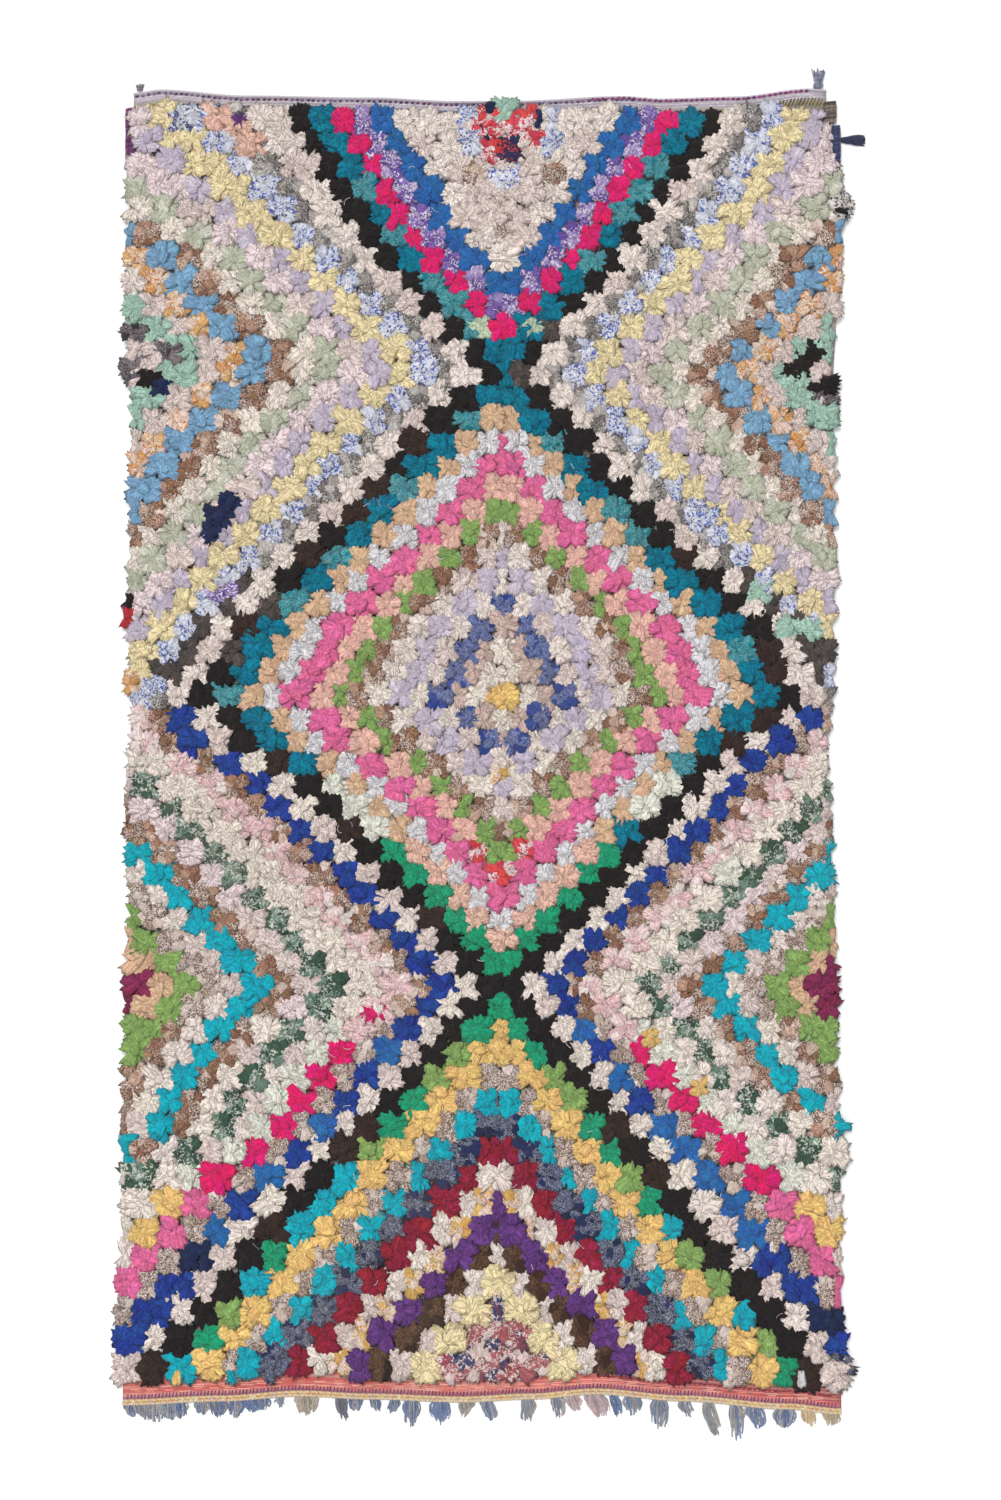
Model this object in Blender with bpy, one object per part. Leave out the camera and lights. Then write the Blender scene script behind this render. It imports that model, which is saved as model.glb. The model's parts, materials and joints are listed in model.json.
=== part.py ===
"""Boucherouite rug: a rag-pile rug that lies flat on the floor, pile side up.

Frame: metres, +Z up, X across the rug, +Y towards its plain woven top end,
origin on the floor under the middle of the footprint. The sizes below are in
millimetres, and MM turns them into metres where a point is made.
"""
import math
import random

import bmesh
import bpy
from mathutils import Vector, noise

MM = 0.001
SEED = 11
PIECE_GAP = 0.3

# Pile field: lumps of knotted rag in rows across the rug
PILE_TOP = 1293.0
PILE_END = -1245.0
LUMPS_ACROSS = 26
LUMP_CROWN = 27.0
LUMP_VALLEY = 9.0
LUMP_SPREAD = 2.5
LUMP_DRIFT = 5.0
RIM_HEIGHT = 12.0
RIM_INSET = 9.0
NOISE_PITCH = 70.0
CHANNEL_STEP = 7.3
SHORTEST_ROW = 20.0

# Distance from one row of knots to the next, which grows towards the lower end
ROW_PITCH = (
    # y, pitch
    (1293.0, 46.0),
    (149.0, 46.0),
    (-91.0, 44.0),
    (-391.0, 44.0),
    (-691.0, 49.0),
    (-891.0, 54.0),
    (-1245.0, 54.0),
)

# Outline of the two long sides, out to the tips of the rags
SIDE_OUTLINE = (
    # y, left x, right x
    (1293.0, -721.0, 698.0),
    (1109.0, -722.0, 714.0),
    (909.0, -727.0, 708.0),
    (709.0, -712.0, 700.0),
    (509.0, -716.0, 699.0),
    (309.0, -720.0, 698.0),
    (109.0, -711.0, 694.0),
    (25.0, -714.0, 681.0),
    (-91.0, -724.0, 690.0),
    (-291.0, -719.0, 697.0),
    (-491.0, -727.0, 702.0),
    (-691.0, -731.0, 703.0),
    (-791.0, -734.0, 720.0),
    (-891.0, -731.0, 708.0),
    (-1091.0, -744.0, 711.0),
    (-1211.0, -747.0, 726.0),
    (-1245.0, -748.0, 716.0),
)

# Flat-woven ends
BAND_HEIGHT = 4.0
BAND_FOOT = 3.0
BAND_SPANS = 2
BOW_REACH = 420.0
TOP_EDGE_MEAN = 1316.0
TOP_BAND_LEFT = -706.0
TOP_BAND_RIGHT = 678.0
TOP_EDGE = (
    # x, y
    (-706.0, 1322.0),
    (-652.0, 1329.0),
    (-484.0, 1317.0),
    (-226.0, 1313.0),
    (-66.0, 1306.0),
    (46.0, 1306.0),
    (272.0, 1316.0),
    (346.0, 1311.0),
    (496.0, 1315.0),
    (644.0, 1331.0),
    (678.0, 1329.0),
)
END_EDGE_MEAN = -1294.0
END_BAND_LEFT = -728.0
END_BAND_RIGHT = 708.0
END_EDGE = (
    # x, y of the twined edge's outer line
    (-728.0, -1301.0),
    (-532.0, -1293.0),
    (-372.0, -1283.0),
    (-240.0, -1289.0),
    (-48.0, -1295.0),
    (88.0, -1289.0),
    (216.0, -1279.0),
    (394.0, -1293.0),
    (598.0, -1309.0),
    (708.0, -1319.0),
)

# Locks of rag at the rim, two to a row on each side
LOCK_BEYOND = (-3.0, 4.0)
LONG_LOCK_BEYOND = 8.0
LONG_LOCK_EVERY = 7
LOCK_TIP_WIDTH = 0.5
LOCK_TIP_HEIGHT = 0.55
LOCK_DRIFT = 2.0

# Twined edge with its yarn tassels
TWINE_WIDTH = 16.0
TWINE_HEIGHT = 6.0
TASSEL_HEIGHT = 4.0
TASSEL_TIP_WIDTH = 0.45
TASSEL_TIP_HEIGHT = 2.4
WIDE_TASSEL = 34.0
SECOND_SHORTER = 0.12
TASSEL_LEAN = 4.0
TASSELS = (
    # from x, to x, length
    (-726.0, -702.0, 26.0),
    (-698.0, -676.0, 34.0),
    (-673.0, -652.0, 38.0),
    (-649.0, -628.0, 34.0),
    (-625.0, -604.0, 34.0),
    (-584.0, -558.0, 30.0),
    (-555.0, -524.0, 32.0),
    (-512.0, -486.0, 37.0),
    (-483.0, -460.0, 27.0),
    (-454.0, -436.0, 24.0),
    (-424.0, -408.0, 24.0),
    (-386.0, -340.0, 44.0),
    (-308.0, -284.0, 46.0),
    (-280.0, -252.0, 28.0),
    (-236.0, -216.0, 28.0),
    (-198.0, -176.0, 30.0),
    (-168.0, -132.0, 54.0),
    (-114.0, -72.0, 48.0),
    (-62.0, -30.0, 34.0),
    (-14.0, 14.0, 42.0),
    (62.0, 94.0, 48.0),
    (124.0, 152.0, 44.0),
    (156.0, 184.0, 34.0),
    (190.0, 236.0, 50.0),
    (239.0, 262.0, 46.0),
    (272.0, 308.0, 40.0),
    (326.0, 364.0, 62.0),
    (384.0, 408.0, 34.0),
    (428.0, 458.0, 68.0),
    (480.0, 511.0, 72.0),
    (515.0, 558.0, 44.0),
    (570.0, 618.0, 44.0),
    (624.0, 654.0, 34.0),
    (670.0, 706.0, 26.0),
)

# Overcast wraps on the two sides, by the top corners
LEFT, RIGHT = 0, 1
WRAP_SIDES = 8
WRAP_STEP = 9.0
WRAP_SWELL = 0.12
WRAP_REACH = 7.0
WRAP_BLUNT = 0.04
WRAP_ROUND = 0.25
WRAPS = (
    # name, side, upper y, lower y, inner x, outer x, height, yarn; y is before the rows' bow
    ("wrap_purple", LEFT, 1287.0, 1179.0, -698.0, -724.0, 15.0, "purple_yarn"),
    ("wrap_taupe", RIGHT, 1293.0, 1247.2, 670.0, 700.0, 14.0, "taupe_yarn"),
    ("wrap_navy", RIGHT, 1246.6, 1155.4, 682.0, 708.0, 16.0, "navy_rag"),
    ("wrap_grey", RIGHT, 1154.6, 1110.0, 692.0, 712.0, 13.0, "grey_yarn"),
)

# Navy rag tail tied in at the right-hand wrap
TAIL_ROOT = (708.6, 1230.0)
TAIL_SECTIONS = (
    # way out from the root, drop in y, width, height
    (0.0, 0.0, 20.0, 10.0),
    (10.0, 1.0, 17.0, 8.0),
    (22.0, 3.0, 13.0, 6.0),
    (34.0, 6.0, 15.0, 5.0),
    (44.4, 9.0, 8.0, 4.0),
)

# Knotted corner tufts at the top corners
TUFTS = (
    # name, from x, to x, head depth, height, strand length, strands
    ("corner_tassel", 646.0, 678.0, 12.0, 9.0, 32.0, 4),
    ("corner_tuft", -704.0, -684.0, 7.0, 7.0, 10.0, 3),
)
TUFT_TIP_WIDTH = 0.5
TUFT_TIP_HEIGHT = 4.0
TUFT_SHORTER = 0.2

# Colours, linear RGB, with roughness
FINISHES = {
    "pile_rags": ((0.62, 0.55, 0.50), 0.9),
    "yarn_fringe": ((0.42, 0.42, 0.46), 0.85),
    "purple_yarn": ((0.10, 0.02, 0.14), 0.85),
    "taupe_yarn": ((0.16, 0.12, 0.09), 0.85),
    "navy_rag": ((0.02, 0.03, 0.12), 0.85),
    "grey_yarn": ((0.34, 0.33, 0.33), 0.85),
}


def clear_scene():
    """Empty the scene of its objects."""
    for item in list(bpy.data.objects):
        bpy.data.objects.remove(item, do_unlink=True)


def cloth_material(name):
    """Return the rough cloth material of that name."""
    colour, roughness = FINISHES[name]
    material = bpy.data.materials.new(name)
    material.use_nodes = True
    shader = material.node_tree.nodes["Principled BSDF"]
    shader.inputs["Base Color"].default_value = (*colour, 1.0)
    shader.inputs["Roughness"].default_value = roughness
    shader.inputs["Metallic"].default_value = 0.0
    material.diffuse_color = (*colour, 1.0)
    return material


def add_object(name, bm, material_name):
    """Turn a closed bmesh into a named object with its faces pointing out."""
    bmesh.ops.recalc_face_normals(bm, faces=bm.faces)
    mesh = bpy.data.meshes.new(name)
    bm.to_mesh(mesh)
    bm.free()
    item = bpy.data.objects.new(name, mesh)
    mesh.materials.append(cloth_material(material_name))
    bpy.context.scene.collection.objects.link(item)
    return item


def point(bm, x, y, z):
    """Add a vertex at a place given in millimetres."""
    return bm.verts.new(Vector((x, y, z)) * MM)


def between(table, at, column):
    """Read one column of a table at a place along its first column, eased between rows."""
    rows = sorted(table)
    if at <= rows[0][0]:
        return rows[0][column]
    for low, high in zip(rows, rows[1:]):
        if at <= high[0]:
            share = (at - low[0]) / (high[0] - low[0])
            eased = share * share * (3.0 - 2.0 * share)
            return low[column] + (high[column] - low[column]) * eased
    return rows[-1][column]


def row_lines():
    """Return y of the valleys between the rows of knots, from the top down."""
    lines = [PILE_TOP]
    while lines[-1] - PILE_END > SHORTEST_ROW:
        lines.append(lines[-1] - between(ROW_PITCH, lines[-1], 1))
    stretch = (PILE_END - PILE_TOP) / (lines[-1] - PILE_TOP)
    return [PILE_TOP + (y - PILE_TOP) * stretch for y in lines]


def bow(x, y):
    """Return how far a row's line lies off straight, as it follows the nearer end."""
    top_share = max(0.0, 1.0 - abs(PILE_TOP - y) / BOW_REACH)
    end_share = max(0.0, 1.0 - abs(y - PILE_END) / BOW_REACH)
    top_bow = between(TOP_EDGE, x, 1) - TOP_EDGE_MEAN
    end_bow = between(END_EDGE, x, 1) - END_EDGE_MEAN
    return top_bow * top_share + end_bow * end_share


def wrap_beside(side, y):
    """Return the inner x of the wraps that cover this height of a side, or None."""
    inner = [
        row[4] for row in WRAPS
        if row[1] == side and row[3] - WRAP_REACH <= y <= row[2] + WRAP_REACH
    ]
    if not inner:
        return None
    return max(inner) if side == LEFT else min(inner)


def wall_x(side, y):
    """Return x of the cloth's wall, which stands back for the rim's locks or for a wrap."""
    outward = -1.0 if side == LEFT else 1.0
    inner = wrap_beside(side, y)
    if inner is not None:
        return inner - outward * PIECE_GAP
    return between(SIDE_OUTLINE, y, side + 1) - outward * RIM_INSET


def lump_noise(x, y, channel):
    """Return a repeatable value from -1 to 1 for a place on the pile."""
    return noise.noise(Vector((x / NOISE_PITCH, y / NOISE_PITCH, CHANNEL_STEP * channel)))


def columns(left, right):
    """Return the x of each column of valleys between two ends."""
    return [left + (right - left) * i / LUMPS_ACROSS for i in range(LUMPS_ACROSS + 1)]


def top_band_columns():
    """Return the x and y of the top edge at each column."""
    return [(x, between(TOP_EDGE, x, 1)) for x in columns(TOP_BAND_LEFT, TOP_BAND_RIGHT)]


def end_band_columns():
    """Return the x and y of the lower band's edge at each column, above the twined edge."""
    return [
        (x, between(END_EDGE, x, 1) + TWINE_WIDTH + PIECE_GAP)
        for x in columns(END_BAND_LEFT, END_BAND_RIGHT)
    ]


def valley_line(bm, y):
    """Add the vertices of one valley between two rows, wall to wall."""
    left, right = wall_x(LEFT, y), wall_x(RIGHT, y)
    line = []
    for i, x in enumerate(columns(left, right)):
        inside = 0 < i < LUMPS_ACROSS
        drift = LUMP_DRIFT if inside else 0.0
        height = LUMP_VALLEY + LUMP_SPREAD * lump_noise(x, y, 1) if inside else RIM_HEIGHT
        line.append(point(
            bm,
            x + drift * lump_noise(x, y, 2),
            y + (drift * lump_noise(x, y, 3) + bow(x, y) if inside else bow(x, y)),
            height,
        ))
    return line


def crown(bm, corners):
    """Add the crown of one lump over the middle of its four corners."""
    middle = sum((corner.co for corner in corners), Vector()) / (len(corners) * MM)
    height = LUMP_CROWN + LUMP_SPREAD * lump_noise(middle.x, middle.y, 4)
    shift_x = LUMP_DRIFT * lump_noise(middle.x, middle.y, 5)
    shift_y = LUMP_DRIFT * lump_noise(middle.x, middle.y, 6)
    return point(bm, middle.x + shift_x, middle.y + shift_y, height)


def fan(bm, rim, top):
    """Close a ring of vertices up to one top vertex."""
    for first, second in zip(rim, rim[1:] + rim[:1]):
        bm.faces.new((first, second, top))


def strand(bm, root, tip):
    """Draw a root face's four vertices out to four tip vertices, and close the tip."""
    for i, j in ((0, 1), (1, 2), (2, 3), (3, 0)):
        bm.faces.new((root[i], root[j], tip[j], tip[i]))
    bm.faces.new(tip)


def lock(bm, wall, tip_x, tip_drift):
    """Draw one wall quad out to a tapered lock that rests level on the floor.

    The wall's four vertices are its two on the floor and then its two upper ones.
    """
    low_a, low_b, high_b, high_a = wall
    middle_y = (low_a.co.y + low_b.co.y) / (2.0 * MM) + tip_drift
    half = abs(low_a.co.y - low_b.co.y) / (2.0 * MM) * LOCK_TIP_WIDTH
    sign = 1.0 if low_a.co.y > low_b.co.y else -1.0
    height = RIM_HEIGHT * LOCK_TIP_HEIGHT
    strand(bm, wall, (
        point(bm, tip_x, middle_y + sign * half, 0.0),
        point(bm, tip_x, middle_y - sign * half, 0.0),
        point(bm, tip_x, middle_y - sign * half, height),
        point(bm, tip_x, middle_y + sign * half, height),
    ))


def side_rim(bm, side, tops, draw):
    """Build one long wall with its locks, and return its floor vertices from the top down."""
    outward = -1.0 if side == LEFT else 1.0
    floor = [point(bm, top.co.x / MM, top.co.y / MM, 0.0) for top in tops]
    spans = len(tops) - 1
    for i in range(spans):
        wall = (floor[i], floor[i + 1], tops[i + 1], tops[i])
        y_a, y_b = tops[i].co.y / MM, tops[i + 1].co.y / MM
        y = (y_a + y_b) / 2.0
        in_band = i < BAND_SPANS or i >= spans - BAND_SPANS
        if in_band or wrap_beside(side, y_a) or wrap_beside(side, y_b):
            bm.faces.new(wall)
            continue
        beyond = draw.uniform(*LOCK_BEYOND)
        if i % LONG_LOCK_EVERY == side:
            beyond = LONG_LOCK_BEYOND
        tip_x = between(SIDE_OUTLINE, y, side + 1) + outward * beyond
        lock(bm, wall, tip_x, draw.uniform(-LOCK_DRIFT, LOCK_DRIFT))
    return floor


def rug_cloth():
    """Build the cloth: woven ground, lumpy rag pile and flat-woven ends, all one piece."""
    bm = bmesh.new()
    draw = random.Random(SEED)
    lines = row_lines()
    valleys = [valley_line(bm, y) for y in lines]

    # The long edges get a vertex in the middle of each row, so that a row ends in two locks
    left_mids, right_mids = [], []
    for y_a, y_b in zip(lines, lines[1:]):
        y = (y_a + y_b) / 2.0
        left_mids.append(point(bm, wall_x(LEFT, y), y + bow(wall_x(LEFT, y), y), RIM_HEIGHT))
        right_mids.append(point(bm, wall_x(RIGHT, y), y + bow(wall_x(RIGHT, y), y), RIM_HEIGHT))

    for row, (upper, lower) in enumerate(zip(valleys, valleys[1:])):
        for i in range(LUMPS_ACROSS):
            rim = [upper[i], upper[i + 1], lower[i + 1], lower[i]]
            top = crown(bm, rim)
            if i == 0:
                rim.append(left_mids[row])
            if i == LUMPS_ACROSS - 1:
                rim.insert(2, right_mids[row])
            fan(bm, rim, top)

    # Flat-woven ends, each with a foot line under the pile and an outer edge
    ends = []
    for valley, edge, outward in (
        (valleys[0], top_band_columns(), 1.0),
        (valleys[-1], end_band_columns(), -1.0),
    ):
        foot = [
            point(bm, v.co.x / MM, v.co.y / MM + outward * BAND_FOOT, BAND_HEIGHT)
            for v in valley
        ]
        rim = [point(bm, x, y, BAND_HEIGHT) for x, y in edge]
        for i in range(LUMPS_ACROSS):
            bm.faces.new((valley[i], valley[i + 1], foot[i + 1], foot[i]))
            bm.faces.new((foot[i], foot[i + 1], rim[i + 1], rim[i]))
        ends.append((foot, rim))
    (top_foot, top_rim), (end_foot, end_rim) = ends

    def side_tops(index, mids):
        """List one long side's upper vertices from the top band down."""
        tops = [top_rim[index], top_foot[index], valleys[0][index]]
        for mid, valley in zip(mids, valleys[1:]):
            tops += [mid, valley[index]]
        return tops + [end_foot[index], end_rim[index]]

    left_floor = side_rim(bm, LEFT, side_tops(0, left_mids), draw)
    right_floor = side_rim(bm, RIGHT, side_tops(-1, right_mids), draw)

    # Underside: one strip across the rug for each station of the long sides
    for rim, corner in ((top_rim, 0), (end_rim, -1)):
        floor = [left_floor[corner]]
        floor += [point(bm, v.co.x / MM, v.co.y / MM, 0.0) for v in rim[1:-1]]
        floor.append(right_floor[corner])
        for i in range(LUMPS_ACROSS):
            bm.faces.new((rim[i], rim[i + 1], floor[i + 1], floor[i]))
        inner = 1 if corner == 0 else -2
        bm.faces.new(floor + [right_floor[inner], left_floor[inner]])
    for i in range(1, len(left_floor) - 2):
        bm.faces.new((left_floor[i], right_floor[i], right_floor[i + 1], left_floor[i + 1]))
    return add_object("rug_cloth", bm, "pile_rags")


def linear(points, x):
    """Read y at x on a line through points, straight between them."""
    for (x_a, y_a), (x_b, y_b) in zip(points, points[1:]):
        if x <= x_b:
            return y_a + (y_b - y_a) * (x - x_a) / (x_b - x_a)
    return points[-1][1]


def tassel_slots():
    """Return from x, to x and length of each lock of yarn: wide tassels part into two."""
    slots = []
    for start, stop, length in TASSELS:
        parts = 2 if stop - start >= WIDE_TASSEL else 1
        width = (stop - start) / parts
        for part in range(parts):
            left = start + part * width
            slots.append((left, left + width, length * (1.0 - SECOND_SHORTER * part)))
    return slots


def fringe_edge():
    """Build the twined edge and the tassels of yarn that are fused to it."""
    bm = bmesh.new()
    draw = random.Random(SEED + 1)
    back_line = [(x, y - PIECE_GAP) for x, y in end_band_columns()]
    slots = tassel_slots()
    stations = {x for x, _ in back_line}
    for start, stop, _ in slots:
        stations = {x for x in stations if not start - 1.0 < x < stop + 1.0}
    stations |= {back_line[0][0], back_line[-1][0]}
    stations |= {edge for start, stop, _ in slots for edge in (start, stop)}
    xs = sorted(stations)
    sections = []
    for x in xs:
        back = linear(back_line, x)
        front = back - TWINE_WIDTH
        sections.append((
            point(bm, x, back, 0.0),
            point(bm, x, back, TWINE_HEIGHT),
            point(bm, x, front, TASSEL_HEIGHT),
            point(bm, x, front, 0.0),
        ))
    lengths = {round(start, 3): length for start, _, length in slots}
    for x, here, there in zip(xs, sections, sections[1:]):
        for i, j in ((0, 1), (1, 2), (3, 0)):
            bm.faces.new((here[i], here[j], there[j], there[i]))
        length = lengths.get(round(x, 3))
        if length is None:
            bm.faces.new((here[2], here[3], there[3], there[2]))
        else:
            yarn_lock(bm, here, there, length, draw)
    bm.faces.new(sections[0])
    bm.faces.new(sections[-1])
    return add_object("fringe_edge", bm, "yarn_fringe")


def flat_tip(bm, middle, half, y, height):
    """Add the four vertices of a strand's tip, which stands on the floor across y."""
    return (
        point(bm, middle - half, y, 0.0),
        point(bm, middle + half, y, 0.0),
        point(bm, middle + half, y, height),
        point(bm, middle - half, y, height),
    )


def yarn_lock(bm, here, there, length, draw):
    """Draw one front face of the twined edge out to a tapered lock on the floor."""
    root = (here[3], there[3], there[2], here[2])
    width = (there[3].co.x - here[3].co.x) / MM
    middle = here[3].co.x / MM + width / 2.0 + draw.uniform(-TASSEL_LEAN, TASSEL_LEAN)
    half = width * TASSEL_TIP_WIDTH / 2.0
    y = min(here[3].co.y, there[3].co.y) / MM - length
    strand(bm, root, flat_tip(bm, middle, half, y, TASSEL_TIP_HEIGHT))


def loft(bm, rings):
    """Join equal rings of vertices into a tube and close both ends."""
    for ring_a, ring_b in zip(rings, rings[1:]):
        for i in range(len(ring_a)):
            j = (i + 1) % len(ring_a)
            bm.faces.new((ring_a[i], ring_a[j], ring_b[j], ring_b[i]))
    bm.faces.new(rings[0])
    bm.faces.new(rings[-1])


def arched_ring(bm, centre, half_width, height, along_x):
    """Add a ring with a flat foot on the floor and an arched back."""
    ring = []
    for i in range(WRAP_SIDES):
        angle = math.pi * i / (WRAP_SIDES - 1)
        across = half_width * math.cos(angle)
        rise = height * math.sin(angle)
        x = centre[0] + (0.0 if along_x else across)
        y = centre[1] + (across if along_x else 0.0)
        ring.append(point(bm, x, y, rise))
    return ring


def edge_wrap(name, upper, lower, inner, outer, height, material_name):
    """Build one overcast wrap: a low roll of yarn turns along the rug's side."""
    bm = bmesh.new()
    upper += bow(inner, upper)
    lower += bow(inner, lower)
    steps = max(3, round((upper - lower) / WRAP_STEP))
    rings = []
    for i in range(steps + 1):
        share = i / steps
        way_in = min(share, 1.0 - share) + WRAP_BLUNT
        end_round = min(1.0, math.sin(math.pi * way_in)) ** WRAP_ROUND
        turn = 1.0 - WRAP_SWELL * (i % 2)
        half = abs(outer - inner) / 2.0 * end_round * turn
        outward = math.copysign(1.0, outer - inner)
        centre = inner + outward * half
        rings.append(arched_ring(
            bm, (centre, upper + (lower - upper) * share), half, height * end_round * turn, False,
        ))
    loft(bm, rings)
    return add_object(name, bm, material_name)


def rag_tail():
    """Build the loose navy end of rag that lies out on the floor."""
    bm = bmesh.new()
    rings = []
    for out, drop, width, height in TAIL_SECTIONS:
        centre = (TAIL_ROOT[0] + out, TAIL_ROOT[1] - drop)
        rings.append(arched_ring(bm, centre, width / 2.0, height, True))
    loft(bm, rings)
    return add_object("rag_tail", bm, "navy_rag")


def corner_tuft(name, start, stop, depth, height, length, strands, material_name):
    """Build a knotted head against the top edge with its strands of yarn."""
    bm = bmesh.new()
    edge = top_band_columns()
    beside = [y for x, y in edge if start <= x <= stop]
    base = max([linear(edge, start), linear(edge, stop)] + beside) + PIECE_GAP
    xs = [start + (stop - start) * i / strands for i in range(strands + 1)]
    sections = [
        (
            point(bm, x, base, 0.0),
            point(bm, x, base, height),
            point(bm, x, base + depth, height),
            point(bm, x, base + depth, 0.0),
        )
        for x in xs
    ]
    for i, (here, there) in enumerate(zip(sections, sections[1:])):
        for a, b in ((0, 1), (1, 2), (3, 0)):
            bm.faces.new((here[a], here[b], there[b], there[a]))
        root = (here[3], there[3], there[2], here[2])
        width = xs[1] - xs[0]
        middle = xs[i] + width / 2.0
        half = width * TUFT_TIP_WIDTH / 2.0
        y = base + depth + length * (1.0 - TUFT_SHORTER * (i % 2))
        strand(bm, root, flat_tip(bm, middle, half, y, TUFT_TIP_HEIGHT))
    bm.faces.new(sections[0])
    bm.faces.new(sections[-1])
    return add_object(name, bm, material_name)


def main():
    """Build the whole rug."""
    clear_scene()
    rug_cloth()
    fringe_edge()
    for name, _, *sizes in WRAPS:
        edge_wrap(name, *sizes)
    rag_tail()
    for row in TUFTS:
        corner_tuft(*row, "grey_yarn")


main()
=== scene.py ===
"""Looks of the boucherouite rug: rag pile knotted on a woven ground, its end bands and stitches,
the twined edge with its tassels, the bound sides and the loose ends."""
import json
import logging
import math
import random
from dataclasses import dataclass, field
from enum import Enum
from typing import Any, Sequence

import bpy
import numpy as np
from mathutils import Euler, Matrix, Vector

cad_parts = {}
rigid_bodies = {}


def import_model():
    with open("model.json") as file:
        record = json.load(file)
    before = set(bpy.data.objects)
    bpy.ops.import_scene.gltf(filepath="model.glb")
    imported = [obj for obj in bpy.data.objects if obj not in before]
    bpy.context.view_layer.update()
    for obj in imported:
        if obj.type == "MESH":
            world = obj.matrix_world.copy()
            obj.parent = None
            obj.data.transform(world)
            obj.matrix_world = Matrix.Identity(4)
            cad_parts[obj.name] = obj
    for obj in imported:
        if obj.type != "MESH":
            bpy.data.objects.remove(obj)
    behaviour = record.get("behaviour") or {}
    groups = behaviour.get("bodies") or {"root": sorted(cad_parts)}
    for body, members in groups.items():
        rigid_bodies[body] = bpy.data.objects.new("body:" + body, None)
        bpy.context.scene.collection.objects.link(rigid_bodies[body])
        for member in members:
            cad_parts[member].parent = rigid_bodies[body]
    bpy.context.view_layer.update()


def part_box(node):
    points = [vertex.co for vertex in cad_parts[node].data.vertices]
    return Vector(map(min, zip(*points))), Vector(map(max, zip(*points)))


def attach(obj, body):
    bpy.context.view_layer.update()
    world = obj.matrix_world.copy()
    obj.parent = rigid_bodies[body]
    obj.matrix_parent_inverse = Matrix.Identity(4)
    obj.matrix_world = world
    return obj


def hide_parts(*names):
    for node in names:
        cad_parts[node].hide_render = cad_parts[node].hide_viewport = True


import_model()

LOG = logging.getLogger("rug")
MM = 0.001
BODY = "root"
PALE_FLOOR = "#F4F4F4"
LAYER_KEYS = {"FLOAT": "value", "INT": "value", "FLOAT_VECTOR": "vector", "FLOAT_COLOR": "color"}
Table = Sequence[Sequence[float]]
Point = tuple[float, float, float]
Socket = bpy.types.NodeSocket
Sockets = bpy.types.bpy_prop_collection


def linear(code: str) -> tuple[float, float, float, float]:
    """Turn a hex colour into linear red, green, blue and alpha.

    Args:
        code: Six hex digits after a hash sign.

    Returns:
        The colour as Blender's sockets take it.
    """
    parts = [int(code[i:i + 2], 16) / 255.0 for i in (1, 3, 5)]
    curve = [c / 12.92 if c <= 0.04045 else ((c + 0.055) / 1.055) ** 2.4 for c in parts]
    return (curve[0], curve[1], curve[2], 1.0)


def between(table: Table, at: float, column: int = 1) -> float:
    """Read a table of rising or falling keys with smooth steps between its rows.

    Args:
        table: Rows whose first value is the key.
        at: The key to look up.
        column: Which value of a row to read.

    Returns:
        The value at that key, held level beyond the ends.
    """
    rows = sorted(table, key=lambda row: row[0])
    if at <= rows[0][0]:
        return rows[0][column]
    for low, high in zip(rows, rows[1:]):
        if at <= high[0]:
            share = (at - low[0]) / (high[0] - low[0])
            share = share * share * (3.0 - 2.0 * share)
            return low[column] + (high[column] - low[column]) * share
    return rows[-1][column]


def placed(name: str, data: Any) -> bpy.types.Object:
    """Make an object from its data and link it to the scene."""
    piece = bpy.data.objects.new(name, data)
    bpy.context.scene.collection.objects.link(piece)
    return piece


def carry(mesh: bpy.types.Mesh, label: str, kind: str, values: Any) -> None:
    """Store one value for each point of a mesh.

    Args:
        mesh: The mesh.
        label: The attribute's name.
        kind: Its Blender type.
        values: The values, in the order of the points.
    """
    dtype = np.int32 if kind == "INT" else np.float32
    layer = mesh.attributes.new(label, kind, "POINT")
    layer.data.foreach_set(LAYER_KEYS[kind], np.asarray(values, dtype).ravel())


def grid_cells(rows: int, wide: int) -> list[int]:
    """Return the number of the first point of every cell in a grid of points."""
    return [r * wide + i for r in range(rows - 1) for i in range(wide - 1)]


def grid_rim(rows: int, wide: int) -> list[int]:
    """Return the numbers of the points round a grid's edge, in order."""
    rim = list(range(wide))
    rim += [r * wide + wide - 1 for r in range(1, rows)]
    rim += [(rows - 1) * wide + i for i in range(wide - 2, -1, -1)]
    rim += [r * wide for r in range(rows - 2, 0, -1)]
    return rim


def in_millimetres(low: Vector, high: Vector) -> tuple[float, float, float, float, float]:
    """Return a box's left, right, bottom, top and height in millimetres."""
    return low.x / MM, high.x / MM, low.y / MM, high.y / MM, high.z / MM


class Batch(Enum):
    """Kinds of rag cloth that share one finish and one piece of the pile."""

    CREAM = "pile_cream"
    PALE = "pile_pale"
    BRIGHT = "pile_bright"
    DARK = "pile_dark"
    RIBBED = "pile_ribbed"
    MARLED = "pile_marled"
    PRINTED = "pile_printed"
    FLECKED = "pile_flecked"


@dataclass(frozen=True)
class Rag:
    """One rag cloth: its colours and the batch that it is knotted in."""

    main: str
    second: str
    batch: Batch
    others: tuple[str, ...] = ()


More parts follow.
